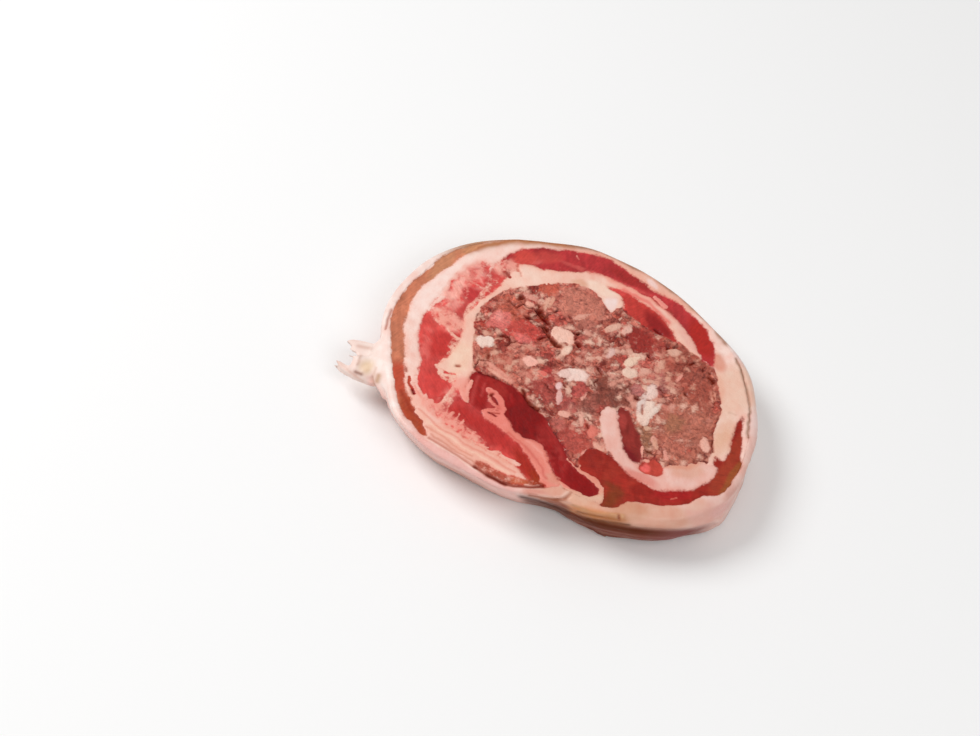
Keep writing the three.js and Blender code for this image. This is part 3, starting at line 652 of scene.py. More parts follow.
# middle, half sizes and turn of the pieces that can be told apart, with their kind and colour
large_pieces = [
    ((-10.5, 14), (5.1, 3.9), -15, "fat", "#F6C8B6"),
    ((4, -0.6), (5, 3.6), 10, "fat", "#F4D6CB"),
    ((-0.6, -2.6), (2.4, 2), 30, "fat", "#EECFC6"),
    ((-34.6, -5.6), (3.9, 3.2), 30, "fat", "#F3DACD"),
    ((-5, 7.6), (3.4, 2), 80, "fat", "#F4D0BC"),
    ((35.4, -2.4), (6.6, 3.3), 100, "fat", "#F1D7C8"),
    ((33, 8.2), (4.2, 2.4), 100, "fat", "#EFD3C8"),
    ((19.4, 17.4), (4.4, 2.2), 60, "fat", "#EFCFB8"),
    ((21.6, 12), (3.4, 2.8), 20, "fat", "#EDCDBA"),
    ((26, 16), (2.4, 1.8), 0, "fat", "#E2AC9A"),
    ((10.6, 17), (3.2, 1.7), 100, "fat", "#E6C0B6"),
    ((11, 30.6), (3.4, 2.1), 100, "fat", "#E8B8A8"),
    ((31.6, 31.4), (2.5, 2.2), 30, "fat", "#DFAE9A"),
    ((5.4, 28.6), (4, 1.8), 55, "fat", "#E4B4A0"),
    ((-8, 26.6), (3.6, 1.4), 50, "fat", "#E8BCA8"),
    ((-21.6, 26.4), (3.6, 1.2), 100, "fat", "#E4A890"),
    ((3, -14), (5, 1.6), 110, "fat", "#E6B4AC"),
    ((0.4, -9), (2.6, 1.5), 100, "fat", "#EDC4C0"),
    ((8.6, -20), (3, 1.7), 15, "fat", "#ECAE9C"),
    ((11, -8), (3.8, 1), 95, "fat", "#E8A494"),
    ((15.4, -18.6), (3.6, 1.1), 120, "fat", "#EAB2A0"),
    ((61.6, -3.4), (3.6, 2.1), 115, "fat", "#EFB8A6"),
    ((44, -12.4), (3, 1.5), 120, "fat", "#E8A898"),
    ((50.6, -16), (3.2, 1.1), 125, "fat", "#EBA898"),
    ((39.2, 20.4), (2.8, 0.9), 80, "fat", "#E8A090"),
    ((55, 19.2), (2.6, 1), 110, "fat", "#E4A28C"),
    ((-14.6, -4.6), (3.2, 2.4), 10, "fat", "#F8BCAC"),
    ((-29, 21), (2.2, 1.3), 0, "fat", "#F0B4A0"),
    ((-7.4, -7), (1.8, 1.5), 0, "fat", "#E8776A"),
    ((21.6, -21.6), (2.1, 3.1), 20, "fat", "#E27E6E"),
    ((24, -32.4), (1.6, 2.4), 0, "fat", "#EA9C8C"),
    ((26.6, -27), (3.4, 1.3), -30, "fat", "#EBAE9A"),
    ((-22, -17.4), (6, 1.1), -4, "fat", "#EBAA96"),
    ((31.6, 2.4), (1.7, 5.4), 14, "fat", "#E6CFC6"),
    ((37.6, 0.6), (1.5, 4), -14, "fat", "#F0DACC"),
    ((45, -13.6), (1.3, 3), 40, "fat", "#E0A890"),
    ((39, -8.6), (2, 1.2), 30, "fat", "#D8AE94"),
    ((-23, 25), (1.3, 4.4), 8, "fat", "#E6AE98"),
    ((-30, 24.4), (4, 1.2), -4, "fat", "#DE9A8A"),
    ((-8, 27), (4.4, 1.2), 48, "fat", "#E3A795"),
    ((-22, -16), (7.4, 1.1), -14, "fat", "#E79E8C"),
    ((51, 1), (12, 19), 14, "paste", "#B26856"),
    ((41, -13), (4, 9), 35, "zone", "#94644C"),
    ((47, -1), (5, 6), 0, "zone", "#A3684F"),
    ((20, 30.4), (10.5, 7), -24, "paste", "#A23E36"),
    ((35, 16), (6, 8), -20, "zone", "#A85C56"),
    ((-40, 3), (3, 3), 0, "zone", "#9C2E24"),
    ((-28, 14), (8, 3), 10, "zone", "#8C2E22"),
    ((-5, -6), (4.6, 5), 0, "zone", "#AC3E3A"),
    ((-6, -15), (8, 5), -20, "paste", "#9C3830"),
    ((8, -15), (6, 5), -30, "zone", "#A8504A"),
    ((15, -12), (5, 9), 10, "zone", "#945448"),
    ((-26, 33), (4.6, 4), 30, "lean", "#C05A46"),
    ((-11, 32), (12, 10), -10, "paste", "#C87A68"),
    ((-34, 16), (8, 8), 0, "zone", "#C2624F"),
    ((-26, -12), (12, 5), -15, "zone", "#AE5444"),
    ((-2, -14), (8, 6), -30, "zone", "#A64A42"),
    ((-3, 22), (6, 6), 0, "zone", "#AE6658"),
    ((-34.6, 7), (5.8, 4.8), 60, "lean", "#DA726A"),
    # a lighter patch on the upper left of the pink piece is a painted highlight
    ((-36.4, 8.6), (2.8, 3.6), 40, "zone", "#E8948A"),
    ((-24.4, 6.8), (7, 5.6), 0, "lean", "#C04840"),
    ((-22, 3.4), (5.4, 3.6), 0, "zone", "#E0746C"),
    ((17.6, 29), (6.6, 4.8), -30, "lean", "#922E28"),
    ((8.4, -6.6), (3.6, 4.4), 0, "lean", "#B4504A"),
    ((20, 0), (11, 9), -30, "zone", "#784034"),
    ((42, 24), (17, 11), -30, "zone", "#9C4C3E"),
    ((17, -28.6), (9, 9), -30, "paste", "#AC4A40"),
    ((17.4, -30), (5, 3.6), -40, "lean", "#B25046"),
    ((9, -25.6), (4.4, 3), -30, "lean", "#B45E54"),
    ((27.4, 6), (3, 3.4), 0, "lean", "#B8706A"),
]
lines += [
    ([(19.2, -20.6), (20.2, -24.4), (23.6, -26.8)], 1.5, 1.0),
    ([(25.6, -26.8), (28.4, -24.8)], 1.5, 0.8),
    ([(20.6, -38), (22.6, -39), (24.6, -38.6)], 1.2, 0.9),
]
creases += [
    ([(-24.4, 23), (-23.4, 19.4), (-20.4, 17.8), (-18, 16.2)], 1.9, 1.5, 1.0),
    ([(-17.8, 13.8), (-16.4, 12)], 2.0, 1.6, 1.0),
    ([(-15.4, 11), (-12.4, 9.4), (-9.4, 9), (-7.4, 9.6)], 1.5, 1.5, 1.0),
    ([(-33.4, 22.6), (-34, 20.4)], 1.5, 1.3, 0.9),
    ([(-32.6, 13.2), (-31, 13.2)], 1.6, 1.2, 0.9),
    ([(-27.6, 14.6), (-25.4, 15.6)], 1.5, 1.2, 0.9),
    ([(-5, 18.4), (-5, 15.4)], 1.1, 1.0, 0.8),
    ([(-2.9, 13.9), (-2.4, 13.6)], 1.9, 1.3, 1.0),
    ([(27.6, 31.2), (29.8, 33.4)], 1.1, 1.0, 0.8),
    ([(23.6, 24.5), (23.9, 24.2)], 1.9, 1.3, 0.95),
    ([(47.6, 30), (48.4, 29)], 1.3, 1.1, 0.8),
    ([(49, 27), (51.8, 25.6)], 1.6, 1.1, 0.8),
    ([(54.4, 20.6), (57.6, 15.4)], 1.2, 1.0, 0.75),
    ([(10.2, 27.4), (12.2, 27.6)], 1.2, 0.9, 0.75),
    ([(28, 2.8), (30.4, 3.2)], 1.4, 1.0, 0.8),
    ([(44.6, 15.4), (45.4, 14.8)], 1.4, 1.0, 0.7),
    ([(33.4, 0.6), (33.8, -3.6)], 0.9, 0.5, 0.5),
    ([(10.4, 6.4), (11.8, 5.4)], 1.4, 0.9, 0.7),
    ([(-36.8, 0.6), (-35.4, 0)], 1.2, 0.9, 0.8),
    ([(-31, -9), (-29.6, -13.4)], 1.4, 0.9, 0.7),
    ([(3, -7.2), (3.4, -7.8)], 1.2, 0.8, 0.6),
    ([(17.6, -18.6), (19.6, -21.4)], 1.3, 0.9, 0.7),
]

MM = 1000.0
# How far a place in the plan is from each layer's outline, in mm, less than 0 inside the layer. The
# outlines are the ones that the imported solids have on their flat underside.
FIELD_STEP = 0.75
FIELD_LOW = (-90.0, -72.0)
FIELD_HIGH = (90.1, 72.1)
field_x, field_y = np.meshgrid(*(np.arange(*ends, FIELD_STEP) for ends in zip(FIELD_LOW, FIELD_HIGH)))


def outline(solid):
    body = upright_solid(solid)
    rims = [
        e for e in body.edges
        if max(v.co.z for v in e.verts) < 1e-5 and any(abs(f.normal.z) < 0.5 for f in e.link_faces)
    ]
    ends = np.array([[e.verts[0].co[:2], e.verts[1].co[:2]] for e in rims]) * MM
    body.free()
    return ends


def to_line(x, y, start, end):
    """How far places are from a straight line between two points."""
    (ax, ay), (bx, by) = start, end
    run = (bx - ax) ** 2 + (by - ay) ** 2
    along = np.clip(((x - ax) * (bx - ax) + (y - ay) * (by - ay)) / max(run, 1e-12), 0, 1)
    return np.hypot(x - ax - along * (bx - ax), y - ay - along * (by - ay))


def distance_field(solid):
    nearest = np.full(field_x.shape, 1e9)
    inside = np.zeros(field_x.shape, bool)
    for start, end in outline(solid):
        nearest = np.minimum(nearest, to_line(field_x, field_y, start, end))
        (ax, ay), (bx, by) = start, end
        if ay != by:
            crossed = ax + (field_y - ay) * (bx - ax) / (by - ay)
            inside ^= ((ay > field_y) != (by > field_y)) & (field_x < crossed)
    return np.where(inside, -1, 1) * nearest


layer_solids = [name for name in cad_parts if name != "cover"]
fields = {name: distance_field(name) for name in layer_solids}


def away(solid, x, y):
    """How far places of the plan, in mm, are from a layer's outline."""
    field = fields[solid]
    u = np.clip((x - FIELD_LOW[0]) / FIELD_STEP, 0, field.shape[1] - 1.001)
    v = np.clip((y - FIELD_LOW[1]) / FIELD_STEP, 0, field.shape[0] - 1.001)
    i, j = u.astype(int), v.astype(int)
    fu, fv = u - i, v - j
    lower = field[j, i] * (1 - fu) + field[j, i + 1] * fu
    upper = field[j + 1, i] * (1 - fu) + field[j + 1, i + 1] * fu
    return lower * (1 - fv) + upper * fv


def scatter(i, j, seed):
    """A number from 0 to 1 that looks random, and that a place always gets again."""
    value = np.sin(i * 127.1 + j * 311.7 + seed * 74.7) * 43758.5453
    return value - np.floor(value)


def ripple(x, y, size, seed):
    """Smooth relief from -1 to 1 with bumps of one size."""
    u, v = x / size, y / size
    i, j = np.floor(u), np.floor(v)
    fu, fv = u - i, v - j
    fu, fv = fu * fu * (3 - 2 * fu), fv * fv * (3 - 2 * fv)
    lower = scatter(i, j, seed) * (1 - fu) + scatter(i + 1, j, seed) * fu
    upper = scatter(i, j + 1, seed) * (1 - fu) + scatter(i + 1, j + 1, seed) * fu
    return 2 * (lower * (1 - fv) + upper * fv) - 1


def patch(x, y, at, half, turn=0):
    """1 in the middle of an oval, 0 on its edge, less than 0 outside."""
    c, s = math.cos(math.radians(turn)), math.sin(math.radians(turn))
    along = ((x - at[0]) * c + (y - at[1]) * s) / half[0]
    across = ((y - at[1]) * c - (x - at[0]) * s) / half[1]
    return 1 - np.hypot(along, across)


def blended(base, other, share):
    return base + (other - base) * np.clip(share, 0, 1)[..., None]


def mosaic(x, y, size, fat_share, seed):
    """Irregular pieces about one size across. How deep a place is in a fat piece, in mm and less than 0 in
    lean ones, how far it is from its piece's edge, and a random number for the nearest lean and fat piece."""
    column_at, row_at = np.floor(x / size), np.floor(y / size)
    to_lean, to_fat, first, second = (np.full(x.shape, 4 * size) for _ in range(4))
    lean_number, fat_number = np.zeros(x.shape), np.zeros(x.shape)
    for across in (-1, 0, 1):
        for up in (-1, 0, 1):
            i, j = column_at + across, row_at + up
            middle_x = (i + 0.5 + 0.84 * (scatter(i, j, seed) - 0.5)) * size
            middle_y = (j + 0.5 + 0.84 * (scatter(i, j, seed + 1) - 0.5)) * size
            far = np.hypot(x - middle_x, y - middle_y)
            is_fat = scatter(i, j, seed + 2) < fat_share(middle_x, middle_y)
            number = scatter(i, j, seed + 3)
            nearer = ~is_fat & (far < to_lean)
            to_lean, lean_number = np.where(nearer, far, to_lean), np.where(nearer, number, lean_number)
            nearer = is_fat & (far < to_fat)
            to_fat, fat_number = np.where(nearer, far, to_fat), np.where(nearer, number, fat_number)
            second = np.minimum(second, np.maximum(first, far))
            first = np.minimum(first, far)
    return (to_lean - to_fat) / 2, (second - first) / 2, lean_number, fat_number


def fat_flecks(x, y):
    """How much of the mince is fat: most in the middle and towards the left, least on the right."""
    share = 0.15
    for most, at, half, full in (
        (0.18, (18, 13), (26, 20), 0.7), (0.16, (-22, -8), (24, 11), 0.6), (0.05, (-4, 24), (20, 12), 0.6),
        (-0.13, (-8, 32), (17, 12), 0.5), (-0.12, (-37, 14), (9, 12), 0.5), (-0.22, (17, -6), (9, 13), 0.5),
        (-0.08, (42, 26), (13, 9), 0.5),
    ):
        share = share + most * rise(patch(x, y, at, half), 0, full)
    return share - 0.10 * rise(x, 38, 52) - 0.06 * rise(-y, 20, 27)


def minced(x, y, seed):
    """The look of the mince by place: depth in fat, looseness, lean and fat colour, height and gap."""
    # clumps of 6.4 mm of bits of 2.6 mm, with specks of fat of 1.4 mm, all with ragged outlines
    u = x + 0.95 * ripple(x, y, 3.1, seed + 1) + 0.4 * ripple(x, y, 1.2, seed + 2)
    v = y + 0.95 * ripple(x, y, 3.1, seed + 3) + 0.4 * ripple(x, y, 1.2, seed + 4)
    _, clump_edge, clump, _ = mosaic(u, v, 6.4, lambda a, b: np.full(a.shape, -1.0), seed + 10)
    depth, edge, number, fat_number = mosaic(u, v, 2.6, fat_flecks, seed + 20)
    speck, _, _, speck_number = mosaic(u, v, 1.4, lambda a, b: fat_flecks(a, b) * 0.6, seed + 30)
    # browner on the right, redder on the left, greyer at the top, and every clump and bit its own tone
    base = np.broadcast_to(linear(MINCE_LEAN), x.shape + (3,))
    base = blended(base, linear("#A8604E"), rise(x, 30, 52) * 0.8)
    base = blended(base, linear("#AC4238"), (1 - rise(x, -30, -12)) * 0.7)
    base = blended(base, linear("#A05A4C"), rise(patch(x, y, (-10, 30), (16, 12)), 0, 0.6) * 0.5)
    tone = 1.1 * (clump - 0.5) + 0.8 * (number - 0.5) + 0.5 * ripple(u + v, v - u, 1.9, seed + 5)
    lean = blended(blended(base, linear(MINCE_LIGHT), tone), linear(MINCE_DARK), -tone)
    lean = blended(lean, linear("#C04A42"), rise(scatter(np.floor(clump * 97), 0, seed), 0.8, 0.84) * 0.6)
    # painted shade at the edges of the bits, which lie lower
    lean = blended(lean, linear("#80261C"), (1 - rise(edge, 0, 0.4)) * 0.55)
    whichever = np.where(speck > depth, speck_number, fat_number)
    fat = blended(np.broadcast_to(linear(MINCE_FAT), x.shape + (3,)), linear(MINCE_PALE_FAT), whichever)
    stained = 0.3 + 0.75 * rise(x, 24, 34) * rise(y, 8, 20)
    stained += 0.55 * (1 - rise(x, -20, -8)) * (1 - rise(y, -2, 6))
    fat = blended(fat, fat * np.array([0.84, 0.62, 0.56]), stained)
    depth = np.maximum(depth, speck)
    height = 0.22 * rise(clump_edge, 0, 1.3) + 0.16 * rise(edge, 0, 0.7) + 0.12 * rise(depth, -0.1, 0.5)
    gap = (1 - rise(clump_edge, 0.05, 0.5)) * rise(ripple(x, y, 6, seed + 6), 0.25, 0.75)
    loose = np.full(x.shape, 0.9)
    # a zone only turns the colour, paste is smooth and soft at its edge, and a piece has a clear outline
    for at, half, turn, kind, code in large_pieces:
        wobble = 0.24 * ripple(x, y, 2.4, seed + 7 + at[0]) + 0.10 * ripple(x, y, 1.0, seed + 8)
        inner = (patch(x, y, at, half, turn) + wobble) * min(half)
        if kind == "fat":
            share = rise(inner, -0.3, 0.35)
            depth = depth * (1 - share) + (inner + 0.2) * share
            fat = blended(fat, linear(code), share)
            height += (0.35 * rise(inner, -0.1, 0.8) - 0.1) * share
        else:
            edges, strength, sunk, stiff, smooth = {
                "zone": ((-0.5, 2.5), 0.85, 0, 0.35, 0),
                "paste": ((-0.5, 3), 0.8, 0.3, 0.6, 0.4),
                "lean": ((-0.3, 0.9), 0.85, 1.2, 0.8, 0.5),
            }[kind]
            share = rise(inner, *edges)
            lean = blended(lean, linear(code), share * strength)
            depth = depth - sunk * share
            loose *= 1 - stiff * share
            height *= 1 - smooth * share
        if kind != "zone":
            gap *= 1 - share
    # where it lies against the dark muscle the mince is smeared with lean
    smeared = (1 - rise(away("lower_lean", u, v), 0.2, 2.6)) * rise(x, 0, 5)
    lean, depth = blended(lean, linear("#8C2824"), smeared * 0.85), depth - 0.9 * smeared
    # painted shade in the sunk gaps between the clumps
    lean = blended(lean, linear("#5A140C"), gap * 0.9)
    fat = blended(fat, linear("#7E3426"), gap * 0.85)
    return np.clip(0.66 * depth, -1.2, 1.2), loose, lean, fat, 0.7 * height - 0.2 - 0.8 * gap, gap


# ---- Cover ----
# The outside of the breast, wrapped once round the roll: pale fat under a thin tough membrane. On the
# near side its two ends lap, and at the left a tag of membrane has torn loose and hangs off the wall.


def joined(bodies):
    whole = bmesh.new()
    for body in bodies:
        mesh = bpy.data.meshes.new("part")
        body.to_mesh(mesh)
        body.free()
        whole.from_mesh(mesh)
        bpy.data.meshes.remove(mesh)
    return whole


def strand(body, points, radii, flat):
    """A string of flesh through points in mm: overlapping balls that the remesh melts together."""
    for start, end, from_radius, to_radius in zip(points, points[1:], radii, radii[1:]):
        run = (Vector(end) - Vector(start)) / MM
        steps = max(2, math.ceil(run.length / 0.0005))
        for k in range(steps + 1):
            radius = (from_radius + (to_radius - from_radius) * k / steps) / MM
            at = Matrix.Translation(Vector(start) / MM + run * (k / steps)) @ Matrix.Diagonal((1, 1, flat, 1))
            bmesh.ops.create_icosphere(body, subdivisions=1, radius=radius, matrix=at)


def stroke(x, y, points, width):
    """1 along a line through the points, fading to 0 at about its half width."""
    nearest = np.min([to_line(x, y, start, end) for start, end in zip(points, points[1:])], axis=0)
    return np.exp(-((nearest / (width / 2)) ** 2))


def tinted(colour, tints, x, y, share=1.0):
    """Lays ovals and lines of colour over a colour, one after the other."""
    for place, *shape, code, strength in tints:
        if isinstance(place, list):
            over = stroke(x, y, place, *shape)
        else:
            over = rise(patch(x, y, place, *shape), 0, 0.55)
        colour = blended(colour, linear(code), share * over * strength)
    return colour


roll = joined([widened(upright_solid(name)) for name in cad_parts])
for points, radii, flat in (
    # petals and threads of the torn tag
    ([(-68, -29, 15), (-74, -30.4, 15), (-79.6, -31.6, 15), (-82, -32.4, 15.4)], [3.0, 2.8, 2.4, 1.2], 0.5),
    ([(-70, -32.6, 14.4), (-76, -34.6, 15), (-79.6, -35, 15)], [1.9, 1.5, 0.9], 0.5),
    ([(-69, -34.6, 16), (-74, -37.6, 16.6), (-78, -39, 16)], [0.8, 0.7, 0.6], 1),
    ([(-68, -37.4, 13.6), (-72.8, -38.6, 13.4), (-72.4, -41.8, 13)], [3.6, 4.1, 3.5], 1),
    ([(-64, -43, 12), (-72, -43.4, 12), (-77.6, -42, 11.6), (-82, -40.4, 11.4)], [3.0, 2.5, 2.0, 1.0], 0.7),
    # the hem where they leave the wall
    (
        [(-71, -22, 15.6), (-69.4, -29, 15.4), (-65.6, -36, 15), (-61, -43, 14.6), (-56, -48.6, 14)],
        [1.6, 3.4, 4.0, 3.4, 2.0], 1,
    ),
    ([(-66.4, -30, 17.4), (-62.8, -37.6, 17.2), (-58, -44.6, 17), (-54, -48.6, 17)], [1.4, 2.0, 2.0, 1.4], 1),
    # fat in the small hole that the solids leave where three layers meet at the near side
    ([(22.6, -50.4, 1.4), (22.6, -50.4, 18.7)], [1.3, 1.3], 1),
):
    strand(roll, points, radii, flat)
cover = shown("cover_ring", roll)
changed(cover, "REMESH", mode="VOXEL", voxel_size=0.00055)
body = bmesh.new()
body.from_mesh(cover.data)
all_axes = {"use_axis_x": True, "use_axis_y": True, "use_axis_z": True}
for _ in range(9):
    bmesh.ops.smooth_vert(body, verts=body.verts, factor=0.5, **all_axes)
body.normal_update()
x, y, z = (np.array([v.co[i] for v in body.verts]) * MM for i in range(3))


def shows_at(x, y, z):
    """Where a place on the near wall, in mm, shows on the plane of the cut in a view from 52 degrees."""
    low = 20 - z
    return x + 0.24 * low, y + slant(x / MM, y / MM, z / MM) * MM - 0.742 * low


def round_the_wall(x, y):
    """How far round the roll a place is, in mm along its wall."""
    return np.degrees(np.arctan2(y, x)) * 1.15


# the folds of the near wall: a ledge under the rim, the hem of the lap, and two folds right of it
ledge = [
    (82, -36), (76, -42.4), (72, -45.4), (68, -47.8), (62, -51), (55, -54.2), (47, -57.3), (40, -59.6),
    (32, -61.2), (22, -62.2), (12, -63.2),
]
hem = [(27.8, -51.2), (27, -54.4), (24.2, -57.2), (20, -59.2), (15, -61)]
upper_fold = [(34, -58), (41, -55.4), (48, -51.4)]
lower_fold = [(39, -59), (47, -55.4), (53, -52.6)]
around = round_the_wall(x, y)
upright_wall = 1 - np.abs(np.array([v.normal.z for v in body.verts]))
# shallow folds about 9 mm long round the wall and 3 mm high, and fine wrinkles of 1.5 mm
push = 0.30 * ripple(around, z, 9, 61) + 0.26 * ripple(around + 1.7 * z, z * 2.6, 5, 62)
push += 0.16 * ripple(around * 0.7 - z, z * 2.2, 1.9, 63)
push = (push - 0.35) * rise(away("outer_fat", x, y), 1.0, 2.5) - 0.35 * rise(y, 28, 48) - 0.1
push *= rise(upright_wall, 0.25, 0.85)
seen_x, seen_y = shows_at(x, y, z)
near = 1 - rise(y, -20, 0)
push -= near * 0.9 * stroke(seen_x, seen_y, ledge, 4.0) * rise(x, 20, 40)
push += near * 0.6 * stroke(seen_x, seen_y - 3.4, ledge, 5.0)
for course, width, out in (
    (hem, 1.6, -0.7), (upper_fold, 1.5, -0.35), (lower_fold, 1.5, -0.4),
    ([(31, -55.6), (36, -54.6), (42, -53.2), (49, -50)], 1.6, 0.35),
    ([(52, -47), (60, -44), (68, -40), (74, -34)], 5, 0.3),
):
    push += near * out * stroke(seen_x, seen_y, course, width)
# the lower edge is tucked in under the right half
push -= near * 2.6 * rise(-z, -12, -2) * rise(x, 26, 42) * (1 - rise(x, 70, 82))
for v, move in zip(body.verts, push):
    v.co += v.normal * (move / MM)
body.to_mesh(cover.data)
body.free()
knife = shown("knife", column(layer_solids[0]))
for name in layer_solids[1:]:
    tool = shown("tool", column(name))
    changed(knife, "BOOLEAN", operation="UNION", solver="MANIFOLD", object=tool)
    bpy.data.objects.remove(tool)
changed(cover, "BOOLEAN", operation="DIFFERENCE", solver="MANIFOLD", object=knife)
bpy.data.objects.remove(knife)
# the cut leaves a few loose scraps inside the ring
body = bmesh.new()
body.from_mesh(cover.data)
ring, edge_of_ring = set(), [max(body.verts, key=lambda v: v.co.x)]
while edge_of_ring:
    v = edge_of_ring.pop()
    if v not in ring:
        ring.add(v)
        edge_of_ring.extend(e.other_vert(v) for e in v.link_edges)
bmesh.ops.delete(body, geom=[v for v in body.verts if v not in ring], context="VERTS")
body.to_mesh(cover.data)
body.free()

# browned and creamy places of the near wall, by where they show on the plane of the cut. The browns low on
# the wall and beside the lap are partly browned skin and partly painted shade, and the greyed pink at the
# lower left is painted shade.
near_places = [
    ((62, -42), (18, 9), 28, "#DCA791", 0.95),
    ((74, -33), (8, 9), 40, "#E2AEA0", 0.9),
    ((70, -30), (6, 4), 45, "#E6C0AE", 0.7),
    ((50, -46.6), (10, 6), 30, "#D29A7E", 0.95),
    ((33, -52), (9, 3), 8, "#E2AC90", 0.9),
    ((22, -54.6), (8, 4.4), 30, "#DFA18C", 0.9),
    ((40, -56.6), (17, 5.4), 16, "#D68C58", 1.0),
    ((47, -52.4), (7, 3), 30, "#BC7A50", 0.8),
    ((80, -27), (3.4, 8), -20, "#E0ACA4", 0.8),
    ((79, -14), (2.4, 9), 0, "#C48C80", 0.9),
    ((17, -58.6), (7, 2.2), 22, "#DC9A8A", 0.9),
    ((26, -59), (7, 2.2), 6, "#9C563E", 0.95),
    ((-44, -62), (14, 2.6), -30, "#CB9C8E", 0.8),
]
# painted shade in the fold hollows, the hem and along the foot of the wall; painted highlights on fold crests
near_fold_light_and_shade = [
    (upper_fold, 1.5, "#965A2E", 0.8),
    (lower_fold, 1.6, "#6C3A1A", 0.8),
    ([(35, -56), (42, -53.2), (49, -50)], 1.4, "#D09A70", 0.9),
    ([(31, -55.6), (36, -54.6)], 1.6, "#CC9468", 0.8),
    ([(13, -63.6), (18, -62.4), (23, -61.6), (31, -61)], 3.0, "#5C3022", 0.95),
    ([(16, -65), (22, -63.8), (31, -63)], 3.6, "#6A4034", 0.8),
    ([(27, -54.6), (24.8, -57.6), (19.6, -60)], 2.0, "#A8664C", 0.8),
    (hem, 1.3, "#A8664E", 0.9),
    ([(26.4, -51.6), (25.4, -54.6), (22.6, -57), (18, -58.8)], 1.1, "#F0C4B2", 0.8),
]
# creamy fat in the torn tag, and painted shade in its hollows and on the edges of its petals
tag_painted_shade = [
    ([(-61.6, -43.6), (-60.8, -46.4)], 2.6, "#C49A7C", 0.9),
    ([(-70.4, -47.2), (-68, -47)], 1.8, "#9C7264", 0.9),
    ([(-76, -35.6), (-71.4, -34)], 2.2, "#D8B4A6", 0.8),
    ([(-72.6, -39.4), (-71.6, -43.6)], 1.4, "#C8A494", 0.7),
    ([(-64.4, -41), (-63, -46.6), (-60, -50)], 1.2, "#D8B6A2", 0.6),
    ([(-80, -47), (-73, -48.4), (-66, -49.6)], 1.4, "#D9B2A2", 0.6),
]


def plain_skin(x, y):
    """The colour of the membrane from place to place round the roll."""
    skin = np.broadcast_to(linear("#F4E0D8"), x.shape + (3,))
    for code, share in (
        ("#F7E3DB", rise(-x, 52, 64)),
        ("#B98A6C", rise(y, 18, 36) * (1 - rise(x, 30, 48))),
        ("#EED4CE", rise(x, 44, 58) * rise(y, -20, 10)),
        ("#E6BFB4", rise(x, 66, 76) * (1 - rise(y, 4, 20))),
        ("#EBB8B0", rise(-y, 48, 56) * (1 - rise(x, 4, 20)) * (1 - rise(-x, 30, 50))),
        ("#E2B09A", rise(-y, 34, 46) * rise(x, 8, 24)),
    ):
        skin = blended(skin, linear(code), share)
    return skin


def near_skin(skin, x, y, share):
    """Adds the near wall's colours and painted shade, and says where the ledge's painted shade lies."""
    skin = tinted(skin, near_places, x, y, share)
    # painted shade below the ledge, where the wall turns under: brown in the middle, purple pink towards the
    # right end
    below = stroke(x, y, ledge, 3.4)
    for drop in (2, 4, 6, 8, 10):
        below = np.maximum(below, stroke(x, y + drop, ledge, 4.4))
    ledge_shade = share * below * rise(x, 12, 26) * (1 - 0.9 * rise(x, 73, 83))
    skin = blended(skin, linear("#7C4036"), ledge_shade * 0.95)
    skin = blended(skin, linear("#905A58"), ledge_shade * rise(x, 56, 72))
    # a painted shadow right under the ledge
    dark = stroke(x, y + 0.6, ledge, 3.8) * rise(x, 22, 44)
    dark *= (1 - 0.75 * rise(x, 58, 74)) * (1 - rise(x, 74, 82))
    skin = blended(skin, linear("#5C2A14"), share * dark * 0.9)
    return tinted(skin, near_fold_light_and_shade, x, y, share), ledge_shade


def skin_rim(x, y):
    """The colour of the cover where it was cut."""
    return near_skin(plain_skin(x, y), x, y, 1 - rise(y, -24, -8))[0]


def outer_skin(x, y, z):
    """The colour of the uncut outside and how moist it is."""
    low = 20 - z
    seen_x, seen_y = shows_at(x, y, z)
    skin = blended(plain_skin(x, y), linear("#F2D8CC"), rise(y, 0, 30) * rise(low, 1, 4))
    # the membrane is thin in places, where the flesh below shows pinker, and has a few fine veins
    about = round_the_wall(x, y)
    thin = ripple(about * 0.8, z, 7, 71) + 0.6 * ripple(about + z, z * 1.5, 2.6, 72)
    skin = blended(skin, skin * np.array([0.96, 0.78, 0.73]), rise(thin, 0, 1.1) * rise(low, 0.5, 3) * 0.6)
    skin = blended(skin, linear("#F9EDE4"), rise(-thin, 0.3, 1.2) * rise(low, 0.5, 3) * 0.5)
    drift = 0.8 * ripple(about, z, 3, 73), 0.8 * ripple(about, z, 3, 74)
    for course in (
        [(58, 15), (66, 11), (77, 10), (88, 6.4), (97, 6), (108, 3)],
        [(77, 10), (84, 12.6), (93, 13.4), (101, 16)],
        [(132, 4), (141, 8.6), (153, 9.4), (160, 13)],
        [(20, 13), (29, 9.6), (38, 9), (45, 5)],
    ):
        skin = blended(skin, linear("#C4776A"), stroke(about + drift[0], z + drift[1], course, 0.9) * 0.4)
    near = 1 - rise(y, -24, -8)
    # the near wall darkens towards its foot: painted shade where it turns under
    skin = blended(skin, linear("#EEC2B8"), near * rise(low, 2, 6) * (1 - rise(x, 10, 26)))
    skin = blended(skin, linear("#D09C8E"), near * rise(low, 6, 14) * (1 - rise(x, -20, 10)))
    skin, ledge_shade = near_skin(skin, seen_x, seen_y, near)
    tag = rise(-x, 64, 68) * rise(-y, 26, 30)
    skin = blended(skin, linear("#F5E2D9"), tag * 0.9)
    middle = rise(patch(seen_x, seen_y, (-67.4, -42.6), (5.6, 5.6)), 0, 0.8)
    skin = blended(skin, linear("#E2C4A2"), middle * tag * 0.9)
    skin = tinted(skin, tag_painted_shade, seen_x, seen_y)
    # painted shade: the whole wall darker towards its foot
    skin = blended(skin, linear("#C99A8A"), rise(low, 12, 20) * 0.35)
    return skin, 0.7 - 0.6 * np.clip(ledge_shade, 0, 1)


